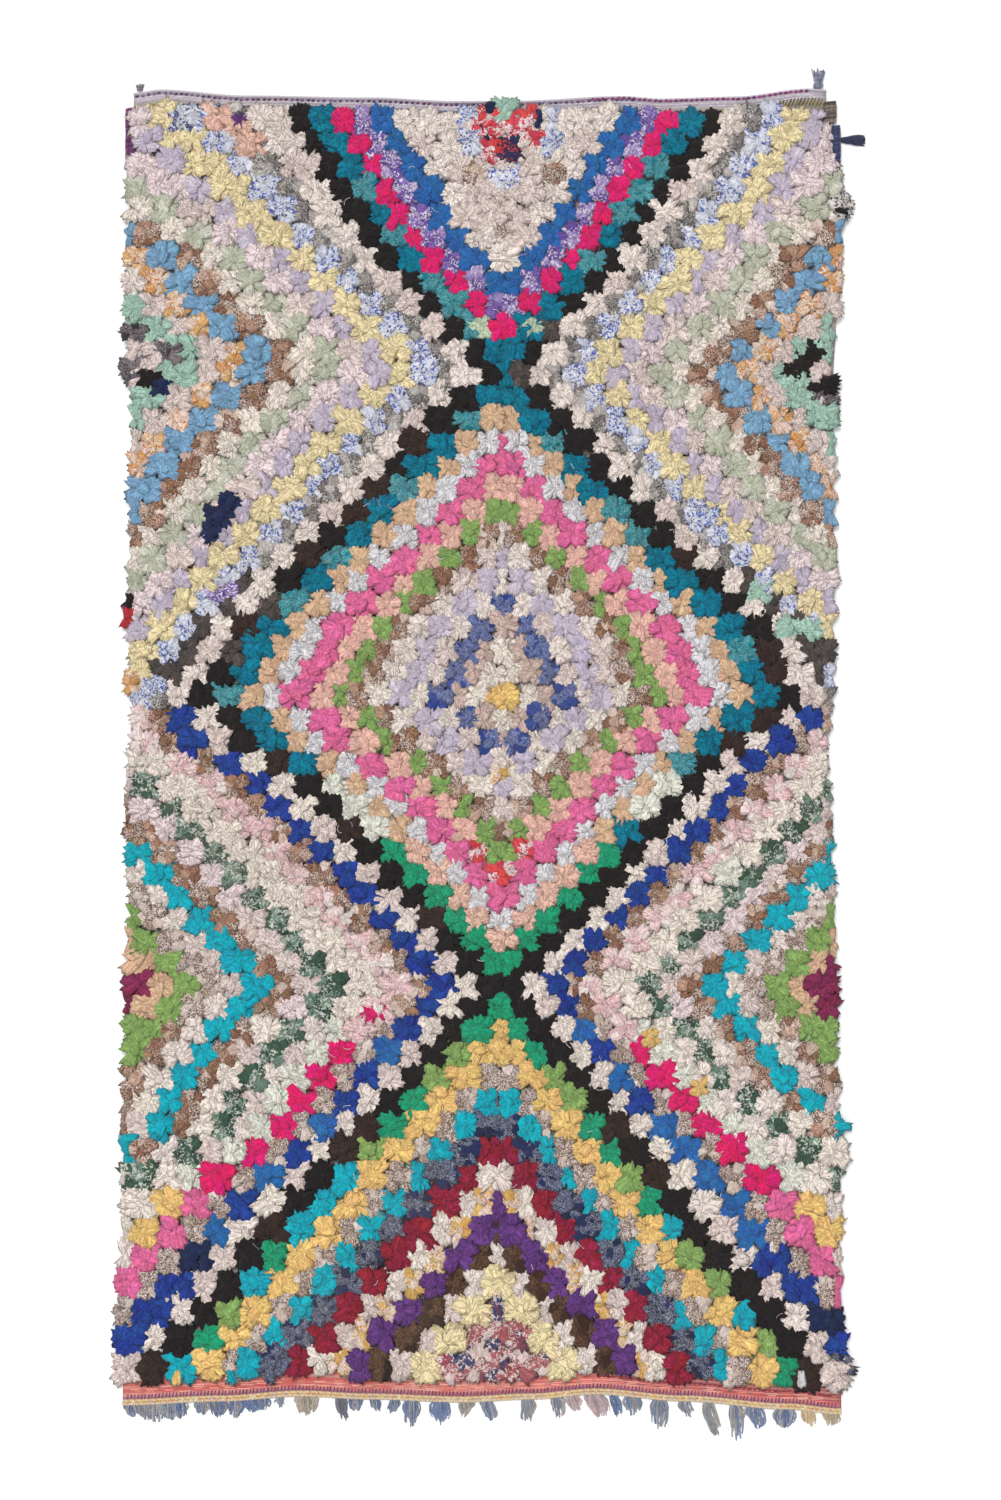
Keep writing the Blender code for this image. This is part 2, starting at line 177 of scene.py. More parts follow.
class Cloth(Enum):
    """The rag cloths of this rug, in a weaver's plain words."""

    CREAM = Rag("#F3E7DF", "#DDCDC4", Batch.CREAM)
    IVORY = Rag("#F5EADF", "#E0D2C4", Batch.CREAM)
    COOL_WHITE = Rag("#E8E5E8", "#D0CFD4", Batch.PALE)
    PINKISH = Rag("#ECDDD7", "#CFB8B1", Batch.PALE)
    PALE_PINK = Rag("#F0DFE0", "#DFC9CC", Batch.PALE)
    DUSTY = Rag("#DDC4BA", "#C5A79E", Batch.PALE)
    PALE_YELLOW = Rag("#F5E5B8", "#E3CF9C", Batch.PALE)
    PEACH = Rag("#EEC4B2", "#DEAE9A", Batch.PALE)
    PALE_GREEN = Rag("#D3DFC4", "#B4CBA4", Batch.PALE)
    MINT_CREAM = Rag("#E9E7DB", "#D6DCCB", Batch.PALE)
    WARM_YELLOW = Rag("#F5D08A", "#E3B564", Batch.BRIGHT)
    SALMON = Rag("#F1C4B5", "#E2AC9C", Batch.BRIGHT)
    TAN = Rag("#E5C2A2", "#CFA682", Batch.BRIGHT)
    ROSE = Rag("#EC7AA9", "#DB5A90", Batch.BRIGHT)
    HOT_PINK = Rag("#F0247C", "#D20F58", Batch.BRIGHT)
    GREEN = Rag("#98B96C", "#76994E", Batch.BRIGHT)
    MINT = Rag("#B2D0C1", "#94BCA8", Batch.BRIGHT)
    EMERALD = Rag("#1AA97B", "#108C64", Batch.BRIGHT)
    TURQUOISE = Rag("#02B9CB", "#069EB2", Batch.BRIGHT)
    SKY = Rag("#8CB4D2", "#6A9AC0", Batch.BRIGHT)
    RED = Rag("#D2303A", "#A8232E", Batch.BRIGHT)
    MEDIUM_BLUE = Rag("#2C70B8", "#1F5B9E", Batch.BRIGHT)
    BLACK = Rag("#272122", "#191516", Batch.DARK)
    DARK_BROWN = Rag("#41302A", "#2E211D", Batch.DARK)
    CHARCOAL = Rag("#655C57", "#463F3D", Batch.DARK, ("#564E4B",))
    TEAL = Rag("#02829E", "#026A84", Batch.DARK)
    ROYAL = Rag("#2A4AA4", "#1E3888", Batch.DARK)
    NAVY = Rag("#26345F", "#1A2547", Batch.DARK)
    CRIMSON = Rag("#A92A44", "#7E1D33", Batch.DARK)
    PURPLE = Rag("#74448C", "#583274", Batch.DARK)
    PLUM = Rag("#97345F", "#762549", Batch.DARK)
    SAGE = Rag("#CACCB8", "#AEB49B", Batch.RIBBED, ("#D5D5C6",))
    LILAC = Rag("#D8CDDA", "#BFB1C8", Batch.RIBBED, ("#D0C3D5",))
    GREY_MOTTLE = Rag("#C9C3BE", "#4F4A48", Batch.MARLED, ("#A39C98",))
    BROWN_MOTTLE = Rag("#C6A490", "#684838", Batch.MARLED, ("#DDC9BD", "#A77D64"))
    PINK_MOTTLE = Rag("#EBD4D2", "#D9A3A8", Batch.MARLED, ("#E9DCD6",))
    TAUPE_MOTTLE = Rag("#D2BFB3", "#74594C", Batch.MARLED, ("#E0D1CA",))
    GREEN_MOTTLE = Rag("#405C4A", "#C6CABF", Batch.PRINTED, ("#365040", "#6E8878"))
    BROWN_FLECKED = Rag("#43291F", "#6E4F38", Batch.MARLED, ("#3B231A",))
    BLUE_SPRIG = Rag("#DEDFE8", "#5A6CB6", Batch.PRINTED, ("#D3D7E6",))
    LILAC_PRINT = Rag("#8064B0", "#DCD2E4", Batch.PRINTED, ("#6A4E9E", "#A08CC4"))
    ORANGE_PRINT = Rag("#E6D0BC", "#D08A48", Batch.PRINTED, ("#D9A974", "#E6CBBE"))
    YELLOW_PRINT = Rag("#EDD9BE", "#D9A24A", Batch.PRINTED, ("#E6CFC8", "#DDAE68"))
    RED_PRINT = Rag("#EBD9D8", "#D8404C", Batch.PRINTED, ("#E04A4E", "#E7D4D8", "#D03A48"))
    STRIPED = Rag("#DAD4D0", "#2A2527", Batch.PRINTED)
    NAVY_SPRIG = Rag("#D9DBE4", "#3B4878", Batch.PRINTED, ("#C9CCDA", "#4A578A"))
    SMOKY = Rag("#39343A", "#8D8488", Batch.MARLED, ("#2B2829", "#6F666A"))
    NAVY_RED = Rag("#2B2F55", "#D8404C", Batch.PRINTED, ("#2A2A48",))
    MAROON_PRINT = Rag("#A95A60", "#E0CCC8", Batch.PRINTED, ("#B4686C", "#DFC6C2", "#3A4270", "#96464F"))
    NAVY_WHITE = Rag("#27458F", "#DDDDE2", Batch.FLECKED, ("#2F4E98", "#223E84"))
    NAVY_FLECKED = Rag("#1E2748", "#D8DCE4", Batch.FLECKED, ("#25305A",))
    TEAL_FLECKED = Rag("#067C8C", "#A9D6CF", Batch.FLECKED)


C = Cloth
Bands = tuple[tuple[Cloth, float], ...]


@dataclass(frozen=True)
class Stretch:
    """The bands that lie between two heights on one side of the black line."""

    upper: float
    lower: float
    bands: Bands


@dataclass(frozen=True)
class Swap:
    """A cloth that gives way to another between two heights, as rags ran out."""

    cloth: Cloth
    other: Cloth
    upper: float
    lower: float
    chance: float


@dataclass(frozen=True)
class Tuft:
    """One burst of rag ends: its middle, half sizes and cloth, and its lift if it is an odd one."""

    x: float
    y: float
    half_width: float
    half_height: float
    cloth: Cloth
    lift: float = 0.0


@dataclass(frozen=True)
class RagEnd:
    """A long end of rag that lies loose over its neighbours."""

    x: float
    y: float
    turn: float
    length: float
    cloth: Cloth
    width: float = 0.8
    lift: float = 3.0


@dataclass(frozen=True)
class Block:
    """A run of knots of one cloth in one row of the pattern."""

    left: float
    right: float
    cloth: Cloth


@dataclass
class RugPlan:
    """The rug's outline, rows and chevrons, in millimetres from its middle."""

    pile_top: float = 1288.0
    pile_end: float = -1245.0
    bow_reach: float = 420.0
    top_edge_mean: float = 1316.0
    end_edge_mean: float = -1294.0
    oversewn_from: float = 570.0
    oversewn_deep: float = 16.0
    top_band: tuple[float, float] = (-706.0, 678.0)
    end_band: tuple[float, float] = (-728.0, 708.0)
    shortest_row: float = 20.0
    foot_below: float = -151.0
    narrowest_run: float = 6.0
    joined_gap: float = 12.0
    edge_wander: float = 4.0
    tuft_cover: float = 0.8
    row_pitch: Table = (
        (1293, 46), (149, 46), (-91, 44), (-391, 44), (-691, 49), (-891, 54), (-1245, 54),
    )
    side_outline: Table = (
        (1293, -721, 698), (1109, -722, 714), (909, -727, 708), (709, -712, 700),
        (509, -716, 699), (309, -720, 698), (109, -711, 694), (25, -714, 681),
        (-91, -724, 690), (-291, -719, 697), (-491, -727, 702), (-691, -731, 703),
        (-791, -734, 720), (-891, -731, 708), (-1091, -744, 711), (-1211, -747, 726),
        (-1245, -748, 716),
    )
    bound_sides: Table = (
        (1262, 15, 24), (1250, 15, 13), (1184, 15, 13), (1176, 0, 11), (1160, 0, 8),
        (1117, 0, 6), (1108, 0, 0), (864, 0, 0), (846, 0, 15), (704, 0, 15), (690, 0, 0),
    )
    top_edge: Table = (
        (-706, 1322), (-652, 1329), (-484, 1317), (-226, 1313), (-66, 1306), (46, 1306),
        (272, 1316), (346, 1311), (496, 1315), (644, 1331), (678, 1329),
    )
    end_edge: Table = (
        (-728, -1301), (-532, -1293), (-372, -1283), (-240, -1289), (-48, -1295),
        (88, -1289), (216, -1279), (394, -1293), (598, -1309), (708, -1319),
    )
    axis: Table = ((1293, 38), (765, 36), (149, 33), (-465, 27), (-1245, 24))
    upper_crossing: float = 765.0
    widest: float = 100.0
    lower_crossing: float = -465.0
    black_line: tuple[Table, ...] = (
        ((765, 12, 12), (806, 56, 54), (852, 102, 92), (898, 146, 136), (944, 190, 180),
         (990, 236, 214), (1036, 274, 250), (1109, 316, 298), (1209, 376, 368), (1309, 438, 438)),
        ((100, 602, 570), (118, 602, 570), (163, 565, 546), (209, 543, 530), (255, 514, 505),
         (301, 470, 456), (347, 432, 408), (509, 274, 249), (609, 194, 161), (765, 28, 24)),
        ((-465, 16, 16), (-265, 192, 202), (-51, 404, 388), (-18, 452, 412), (26, 518, 460),
         (72, 543, 522), (100, 574, 545)),
        ((-1261, 722, 648), (-1218, 690, 620), (-1164, 636, 584), (-1110, 588, 538),
         (-1056, 541, 488), (-1003, 500, 434), (-465, 20, 16)),
    )
    black_width: Table = ((1293, 30), (1200, 38), (765, 42), (700, 50), (-465, 50), (-1245, 58))
    outer_scale: Table = (
        (1309, 1.95, 1.08), (1259, 1.9, 1.1), (1199, 1.75, 1.19), (1139, 1.5, 1.24),
        (1099, 1.38, 1.22), (1049, 1.22, 1.05), (999, 1.07, 0.97), (929, 1.1, 1.02),
        (859, 1.1, 1.03), (809, 1.05, 1.0), (769, 1.12, 0.98), (709, 1.13, 0.93), (609, 1.12, 0.93),
        (549, 1.09, 0.9), (149, 1.04, 0.95), (-230, 1.0, 0.87), (-465, 1.0, 0.86), (-651, 0.95, 0.86),
        (-751, 0.86, 0.98), (-851, 1.1, 1.15), (-1245, 1.1, 1.1),
    )
    top_inside: Bands = (
        (C.TEAL, 50), (C.HOT_PINK, 38), (C.LILAC_PRINT, 36), (C.MEDIUM_BLUE, 46),
        (C.CREAM, 50), (C.PINKISH, 900),
    )
    upper_outside: Bands = (
        (C.CREAM, 44), (C.GREY_MOTTLE, 30), (C.BLUE_SPRIG, 38), (C.PALE_YELLOW, 50),
        (C.LILAC, 34), (C.PALE_PINK, 50), (C.SAGE, 44), (C.IVORY, 38),
        (C.BROWN_MOTTLE, 46), (C.SKY, 50), (C.ORANGE_PRINT, 40), (C.PINKISH, 38),
        (C.MINT, 72), (C.PINKISH, 900),
    )
    diamond: Bands = (
        (C.TEAL, 56), (C.TAN, 36), (C.COOL_WHITE, 40), (C.ROSE, 52), (C.SALMON, 42),
        (C.GREEN, 34), (C.BROWN_MOTTLE, 38), (C.CREAM, 40), (C.LILAC, 44), (C.CREAM, 34),
        (C.NAVY_WHITE, 42), (C.DUSTY, 32), (C.IVORY, 40), (C.WARM_YELLOW, 900),
    )
    diamond_foot: Bands = (
        (C.EMERALD, 46), (C.PEACH, 44), (C.COOL_WHITE, 36), (C.ROSE, 46), (C.RED_PRINT, 38),
        (C.GREEN, 34), (C.BROWN_MOTTLE, 38), (C.CREAM, 900),
    )
    bottom_inside: Bands = (
        (C.EMERALD, 46), (C.WARM_YELLOW, 56), (C.TAUPE_MOTTLE, 36), (C.TURQUOISE, 36),
        (C.NAVY_FLECKED, 52), (C.CRIMSON, 46), (C.CREAM, 34), (C.YELLOW_PRINT, 32),
        (C.PURPLE, 48), (C.BROWN_FLECKED, 40), (C.CREAM, 30), (C.PALE_YELLOW, 60),
        (C.MAROON_PRINT, 900),
    )
    lower_outside: tuple[Stretch, ...] = (
        Stretch(100, -511, (
            (C.CREAM, 46), (C.ROYAL, 50), (C.BROWN_MOTTLE, 36), (C.PINK_MOTTLE, 60),
            (C.IVORY, 72), (C.GREEN_MOTTLE, 48), (C.PALE_PINK, 52), (C.BROWN_MOTTLE, 48),
            (C.TURQUOISE, 56), (C.CREAM, 40), (C.TAUPE_MOTTLE, 48), (C.GREEN, 54),
            (C.TAN, 44), (C.PLUM, 900),
        )),
        Stretch(-511, -881, (
            (C.CREAM, 44), (C.ROYAL, 52), (C.TAUPE_MOTTLE, 38), (C.HOT_PINK, 56),
            (C.MINT_CREAM, 48), (C.CREAM, 44), (C.GREEN_MOTTLE, 48), (C.CREAM, 48),
            (C.BROWN_MOTTLE, 44), (C.TURQUOISE, 54), (C.CREAM, 50), (C.BROWN_MOTTLE, 44),
            (C.GREEN, 900),
        )),
        Stretch(-881, -991, (
            (C.CREAM, 54), (C.ROYAL, 46), (C.TAUPE_MOTTLE, 34), (C.ROSE, 50),
            (C.WARM_YELLOW, 54), (C.CREAM, 900),
        )),
        Stretch(-991, -1111, (
            (C.CREAM, 40), (C.NAVY, 62), (C.TAUPE_MOTTLE, 36), (C.ROSE, 44), (C.CREAM, 900),
        )),
        Stretch(-1111, -1300, ((C.CREAM, 38), (C.NAVY, 70), (C.TAUPE_MOTTLE, 900))),
    )
    swaps: tuple[Swap, ...] = (
        Swap(C.TEAL, C.TEAL_FLECKED, 1293, -51, 0.35),
        Swap(C.BLACK, C.DARK_BROWN, 640, -1245, 0.3),
        Swap(C.BLACK, C.CHARCOAL, 1293, 149, 0.1),
        Swap(C.BLUE_SPRIG, C.CHARCOAL, 320, 150, 0.35),
        Swap(C.GREY_MOTTLE, C.CHARCOAL, 369, 129, 0.9),
        Swap(C.CREAM, C.PINKISH, 1293, 149, 0.25),
        Swap(C.PINKISH, C.CREAM, 1293, 900, 0.4),
        Swap(C.CREAM, C.PINKISH, 149, -1245, 0.35),
        Swap(C.TEAL, C.MINT_CREAM, -51, -221, 0.9),
        Swap(C.EMERALD, C.GREEN, -465, -1245, 0.35),
        Swap(C.EMERALD, C.TURQUOISE, -800, -1245, 0.55),
        Swap(C.HOT_PINK, C.PINK_MOTTLE, -511, -561, 0.8),
        Swap(C.ROYAL, C.MEDIUM_BLUE, -491, -1245, 0.35),
        Swap(C.NAVY, C.ROYAL, -991, -1245, 0.5),
        Swap(C.IVORY, C.MINT_CREAM, -91, -700, 0.1),
        Swap(C.PALE_PINK, C.PINKISH, 1293, -511, 0.3),
        Swap(C.CREAM, C.IVORY, 149, -1245, 0.35),
    )
    tufts: tuple[Tuft, ...] = (
        Tuft(-700, 842, 26, 13, C.SMOKY, 1.0),
        Tuft(-636, 802, 29, 18, C.SMOKY, 1.0),
        Tuft(-706, 772, 24, 16, C.SMOKY, 1.0),
        Tuft(-676, 748, 24, 17, C.BLACK, 1.5),
        Tuft(-650, 730, 20, 14, C.NAVY, 1.5),
        Tuft(648, 804, 25, 19, C.BLACK, 1.0),
        Tuft(616, 770, 27, 17, C.BLACK, 1.0),
        Tuft(672, 734, 26, 12, C.BLACK, 1.0),
        Tuft(672, 712, 24, 11, C.SMOKY, 1.0),
        Tuft(-14, 851, 18, 19, C.PALE_GREEN, 1.5),
        Tuft(92, 853, 16, 13, C.PALE_GREEN, 1.0),
        Tuft(28, 1086, 23, 22, C.TAUPE_MOTTLE, 0.5),
        Tuft(32, 1040, 20, 22, C.TAUPE_MOTTLE, 0.5),
        Tuft(36, 1284, 22, 18, C.MINT, 3.0),
        Tuft(6, 1270, 20, 20, C.RED_PRINT, 1.5),
        Tuft(86, 1270, 24, 20, C.RED_PRINT, 1.5),
        Tuft(-8, 1244, 24, 22, C.RED_PRINT, 1.0),
        Tuft(44, 1248, 26, 22, C.RED_PRINT, 1.5),
        Tuft(92, 1236, 24, 22, C.RED_PRINT, 1.0),
        Tuft(44, 1208, 22, 26, C.NAVY_RED, 2.0),
        Tuft(-8, 1240, 10, 14, C.NAVY_RED, 2.0),
        Tuft(104, 1266, 9, 14, C.NAVY, 2.5),
        Tuft(10, 1288, 9, 8, C.NAVY, 2.5),
        Tuft(8, 1204, 18, 20, C.RED_PRINT, 1.0),
        Tuft(82, 1198, 18, 18, C.PINKISH, 1.0),
        Tuft(-36, 1268, 16, 18, C.BLUE_SPRIG, 1.0),
        Tuft(-32, 1222, 18, 24, C.BLUE_SPRIG, 1.0),
        Tuft(134, 1266, 18, 18, C.BLUE_SPRIG, 1.0),
        Tuft(130, 1218, 18, 24, C.BLUE_SPRIG, 1.0),
        Tuft(44, 1150, 34, 22, C.BLUE_SPRIG, 1.0),
        Tuft(-24, 1166, 24, 20, C.BROWN_MOTTLE, 1.0),
        Tuft(134, 1158, 24, 20, C.BROWN_MOTTLE, 1.0),
        Tuft(-690, 1262, 18, 24, C.PALE_PINK, 0.5),
        Tuft(-604, 1266, 30, 25, C.NAVY_SPRIG, 1.0),
        Tuft(-538, 1272, 28, 24, C.PEACH, 1.5),
        Tuft(-496, 1252, 22, 20, C.PEACH, 1.0),
        Tuft(-470, 1218, 26, 20, C.PEACH, 1.5),
        Tuft(-494, 1262, 9, 12, C.PURPLE, 3.5),
        Tuft(-532, 478, 28, 20, C.NAVY, 1.5),
        Tuft(-510, 508, 22, 18, C.NAVY, 1.5),
        Tuft(-548, 444, 20, 18, C.NAVY, 1.0),
        Tuft(432, 469, 28, 22, C.BLUE_SPRIG, 1.0),
        Tuft(540, 324, 26, 24, C.MINT, 1.0),
        Tuft(606, 254, 28, 20, C.MINT, 1.0),
        Tuft(646, 250, 20, 20, C.MINT, 1.0),
        Tuft(-532, 322, 32, 14, C.LILAC_PRINT, 1.0),
        Tuft(-664, 138, 20, 16, C.BLUE_SPRIG, 1.0),
        Tuft(-704, 146, 16, 18, C.ORANGE_PRINT, 1.0),
        Tuft(704, 1094, 19, 22, C.STRIPED, 1.0),
        Tuft(34, -36, 26, 18, C.YELLOW_PRINT, 1.0),
        Tuft(-716, 275, 10, 15, C.RED, 2.0),
        Tuft(-714, 304, 10, 11, C.BLACK, 1.0),
        Tuft(-228, -515, 22, 16, C.HOT_PINK, 1.0),
        Tuft(326, -565, 14, 14, C.WARM_YELLOW, 2.0),
        Tuft(424, -661, 14, 14, C.WARM_YELLOW, 2.0),
        Tuft(-96, -281, 22, 18, C.EMERALD, 1.0),
    )
    rag_ends: tuple[RagEnd, ...] = (
        RagEnd(-434, -1215, 4.0, 1.75, C.NAVY_FLECKED),
        RagEnd(-198, -1215, -6.0, 1.5, C.DARK_BROWN),
        RagEnd(-512, -1228, 8.0, 1.1, C.TURQUOISE),
        RagEnd(-618, -1232, -4.0, 1.1, C.WARM_YELLOW),
        RagEnd(628, -1232, 3.0, 1.25, C.COOL_WHITE),
        RagEnd(-690, 756, -66.0, 1.5, C.SMOKY),
        RagEnd(-656, 818, 62.0, 1.2, C.SMOKY),
        RagEnd(684, 1104, 40.0, 1.1, C.STRIPED, 1.1, 4.0),
        RagEnd(690, 1086, 76.0, 1.2, C.BLACK, 0.5, 5.0),
        RagEnd(690, -1200, 66.0, 1.6, C.NAVY_FLECKED),
        RagEnd(702, -1226, 80.0, 1.5, C.NAVY_FLECKED),
        RagEnd(694, -740, 84.0, 1.4, C.TURQUOISE),
        RagEnd(-700, -760, -84.0, 1.4, C.TURQUOISE),
    )

    def row_lines(self) -> list[float]:
        """Return the heights of the valleys between the rows, from the top down."""
        lines = [self.pile_top]
        while lines[-1] - self.pile_end > self.shortest_row:
            lines.append(lines[-1] - between(self.row_pitch, lines[-1]))
        stretch = (self.pile_end - self.pile_top) / (lines[-1] - self.pile_top)
        return [self.pile_top + (y - self.pile_top) * stretch for y in lines]

    def bow(self, x: float, y: float) -> float:
        """Return how far a row lies off straight, as it follows the nearer end.

        Args:
            x: Place across the rug.
            y: Height of the row.

        Returns:
            The lift of the row there.
        """
        top_share = max(0.0, 1.0 - abs(self.pile_top - y) / self.bow_reach)
        end_share = max(0.0, 1.0 - abs(y - self.pile_end) / self.bow_reach)
        top_bow = between(self.top_edge, x) - self.top_edge_mean
        end_bow = between(self.end_edge, x) - self.end_edge_mean
        return top_bow * top_share + end_bow * end_share

    def line_at(self, y: float) -> tuple[float, float]:
        """Return how far the black line stands left and right of the axis at a height."""
        if y > self.upper_crossing:
            table = self.black_line[0]
        elif y > self.widest:
            table = self.black_line[1]
        elif y > self.lower_crossing:
            table = self.black_line[2]
        else:
            table = self.black_line[3]
        rows = np.array(sorted(table), float)
        return (
            float(np.interp(y, rows[:, 0], rows[:, 1])),
            float(np.interp(y, rows[:, 0], rows[:, 2])),
        )

    def inside(self, y: float) -> Bands:
        """Return the bands between the black lines at a height, from the line inwards."""
        if y > self.upper_crossing:
            return self.top_inside
        if y > self.foot_below:
            return self.diamond
        if y > self.lower_crossing:
            return self.diamond_foot
        return self.bottom_inside

    def outside(self, y: float) -> Bands:
        """Return the bands beyond the black line at a height, from the line outwards."""
        if y > self.widest:
            return self.upper_outside
        for stretch in self.lower_outside:
            if y > stretch.lower:
                return stretch.bands
        return self.lower_outside[-1].bands

    def half_row(self, y: float, side: int) -> list[tuple[float, float, Cloth]]:
        """Return one side's runs of cloth at a height, as distances from the axis.

        Args:
            y: Height of the row.
            side: 0 for the left and 1 for the right.

        Returns:
            Runs as start, stop and cloth, from the axis outwards.
        """
        line = self.line_at(y)
        half = between(self.black_width, y) / 2.0
        inward = line[side] / max(1.0, sum(line) / 2.0)
        runs = []
        at = line[side] - half
        for cloth, width in self.inside(y):
            if at <= 0.0:
                break
            start = max(0.0, at - width * inward)
            runs.append((start, at, cloth))
            at = start
        runs.reverse()
        runs.append((max(0.0, line[side] - half), line[side] + half, C.BLACK))
        at = line[side] + half
        scale = between(self.outer_scale, y, side + 1)
        for cloth, width in self.outside(y):
            runs.append((at, at + width * scale, cloth))
            at += width * scale
        return runs

    def blocks(self, y: float, left: float, right: float, draw: random.Random) -> list[Block]:
        """Lay out one row of the pattern as runs of one cloth each.

        Args:
            y: Height of the row's middle.
            left: Where the pile starts.
            right: Where the pile stops.
            draw: The row's own random numbers.

        Returns:
            Blocks from left to right, without gaps.
        """
        axis = between(self.axis, y)
        runs = [(axis - stop, axis - start, cloth) for start, stop, cloth in self.half_row(y, 0)]
        runs.reverse()
        runs += [(axis + start, axis + stop, cloth) for start, stop, cloth in self.half_row(y, 1)]
        merged: list[Block] = []
        for start, stop, cloth in runs:
            start, stop = max(start, left), min(stop, right)
            if stop - start < self.narrowest_run:
                continue
            near = merged and start - merged[-1].right < self.joined_gap
            if near and merged[-1].cloth is cloth:
                merged[-1] = Block(merged[-1].left, stop, cloth)
            else:
                merged.append(Block(merged[-1].right if merged else left, stop, cloth))
        last = merged[-1]
        merged[-1] = Block(last.left, right, last.cloth)
        wander = self.edge_wander
        edges = [block.right + draw.uniform(-wander, wander) for block in merged[:-1]] + [right]
        out = []
        start = left
        for block, stop in zip(merged, edges):
            out.append(Block(start, stop, self.swapped(block.cloth, y, draw)))
            start = stop
        return out

    def swapped(self, cloth: Cloth, y: float, draw: random.Random) -> Cloth:
        """Return the cloth that was used here, after any swap."""
        for swap in self.swaps:
            if swap.cloth is cloth and swap.lower <= y <= swap.upper:
                if draw.random() < swap.chance:
                    return swap.other
        return cloth

    def covered(self, x: float, y: float) -> bool:
        """Tell whether an odd tuft lies over a place, so that nothing else is knotted there."""
        for tuft in self.tufts:
            across = (x - tuft.x) / tuft.half_width
            along = (y - tuft.y) / tuft.half_height
            if across * across + along * along < self.tuft_cover:
                return True
        return False


class NodeBench:
    """Adds nodes to one tree and joins them, so that a recipe reads from top to bottom."""

    def __init__(self, tree: bpy.types.NodeTree) -> None:
        """Keep the tree that the nodes go into."""
        self.tree = tree

    def add(self, kind: str, inputs: dict[Any, Any] | None = None, **settings: Any) -> bpy.types.Node:
        """Add one node.

        Args:
            kind: The node's Blender type.
            inputs: Values or sockets for its inputs, by name or number.
            settings: Its own properties.

        Returns:
            The new node.
        """
        node = self.tree.nodes.new(kind)
        node.location = (190.0 * len(self.tree.nodes), 0.0)
        for name, value in settings.items():
            setattr(node, name, value)
        for key, value in (inputs or {}).items():
            self.feed(node.inputs[key], value)
        return node

    def feed(self, socket: Socket, value: Any) -> None:
        """Join a socket to another one, or set its value."""
        if isinstance(value, bpy.types.NodeSocket):
            self.tree.links.new(value, socket)
        else:
            socket.default_value = value

    def math(self, operation: str, first: Any, second: Any = 0.0, third: Any = 0.0) -> Socket:
        """Add a Math node and return its result."""
        node = self.add("ShaderNodeMath", {0: first, 1: second, 2: third}, operation=operation)
        return node.outputs[0]

    def vector_math(self, operation: str, first: Any, second: Any) -> Socket:
        """Add a Vector Math node and return its vector."""
        node = self.add("ShaderNodeVectorMath", {0: first, 1: second}, operation=operation)
        return node.outputs[0]

    def ramp(self, value: Any, low: Any, high: Any, start: float = 0.0, stop: float = 1.0) -> Socket:
        """Add a smooth Map Range node from low..high to start..stop and return its result."""
        node = self.add(
            "ShaderNodeMapRange",
            {"Value": value, "From Min": low, "From Max": high, "To Min": start, "To Max": stop},
            interpolation_type="SMOOTHSTEP",
        )
        return node.outputs[0]

    def mix(self, factor: Any, first: Any, second: Any, blend: str = "MIX") -> Socket:
        """Add a colour Mix node and return its result."""
        node = self.add(
            "ShaderNodeMix", {0: factor, 6: first, 7: second}, data_type="RGBA", blend_type=blend
        )
        return node.outputs[2]

    def attribute(self, name: str, output: str = "Fac") -> Socket:
        """Read a mesh attribute in a material."""
        return self.add("ShaderNodeAttribute", attribute_name=name).outputs[output]

    def noise(self, vector: Any, scale: Any, detail: float = 2.0, w: Any = 0.0,
              distortion: float = 0.0) -> Socket:
        """Add a four-dimensional Noise Texture and return its value."""
        node = self.add(
            "ShaderNodeTexNoise",
            {"Vector": vector, "W": w, "Scale": scale, "Detail": detail, "Distortion": distortion},
            noise_dimensions="4D",
        )
        return node.outputs[0]


GROUPS: dict[str, bpy.types.NodeTree] = {}


def shader_group(name: str, inputs: dict[str, tuple[str, Any]], outputs: dict[str, str]
                 ) -> tuple[NodeBench, Sockets, Sockets]:
    """Start a shader node group with named sockets.

    Args:
        name: The group's name.
        inputs: Socket kinds and defaults, by name.
        outputs: Socket kinds, by name.

    Returns:
        The bench for its nodes, the sockets it is given and the sockets it fills.
    """
    tree = bpy.data.node_groups.new(name, "ShaderNodeTree")
    for label, (kind, value) in inputs.items():
        socket = tree.interface.new_socket(label, in_out="INPUT", socket_type=kind)
        socket.default_value = value
    for label, kind in outputs.items():
        tree.interface.new_socket(label, in_out="OUTPUT", socket_type=kind)
    bench = NodeBench(tree)
    GROUPS[name] = tree
    return bench, bench.add("NodeGroupInput").outputs, bench.add("NodeGroupOutput").inputs


FLOAT = "NodeSocketFloat"
COLOUR = "NodeSocketColor"
WHITE = (1.0, 1.0, 1.0, 1.0)


def make_tuft_tint() -> None:
    """Build the group that varies a cloth's colour from tuft to tuft, with soiling and wear."""
    bench, give, take = shader_group(
        "tuft_tint",
        {"Colour": (COLOUR, WHITE), "Spread": (FLOAT, 0.08), "Soil": (FLOAT, 0.08)},
        {"Colour": COLOUR},
    )
    tuft = bench.attribute("tuft")
    other = bench.math("FRACT", bench.math("MULTIPLY", tuft, 7.31))
    lift = bench.math("MULTIPLY_ADD", bench.math("SUBTRACT", other, 0.5), give["Spread"], 1.0)
    hue = bench.math("MULTIPLY_ADD", bench.math("SUBTRACT", tuft, 0.5), 0.016, 0.5)
    tinted = bench.add(
        "ShaderNodeHueSaturation", {"Hue": hue, "Value": lift, "Color": give["Colour"]}
    ).outputs[0]
    place = bench.add("ShaderNodeTexCoord").outputs["Object"]
    cloud = bench.ramp(bench.noise(place, 3.1, 3.0), 0.45, 0.75)
    soil = bench.math("MULTIPLY", cloud, give["Soil"])
    bench.feed(take["Colour"], bench.mix(soil, tinted, linear("#A08C78")))


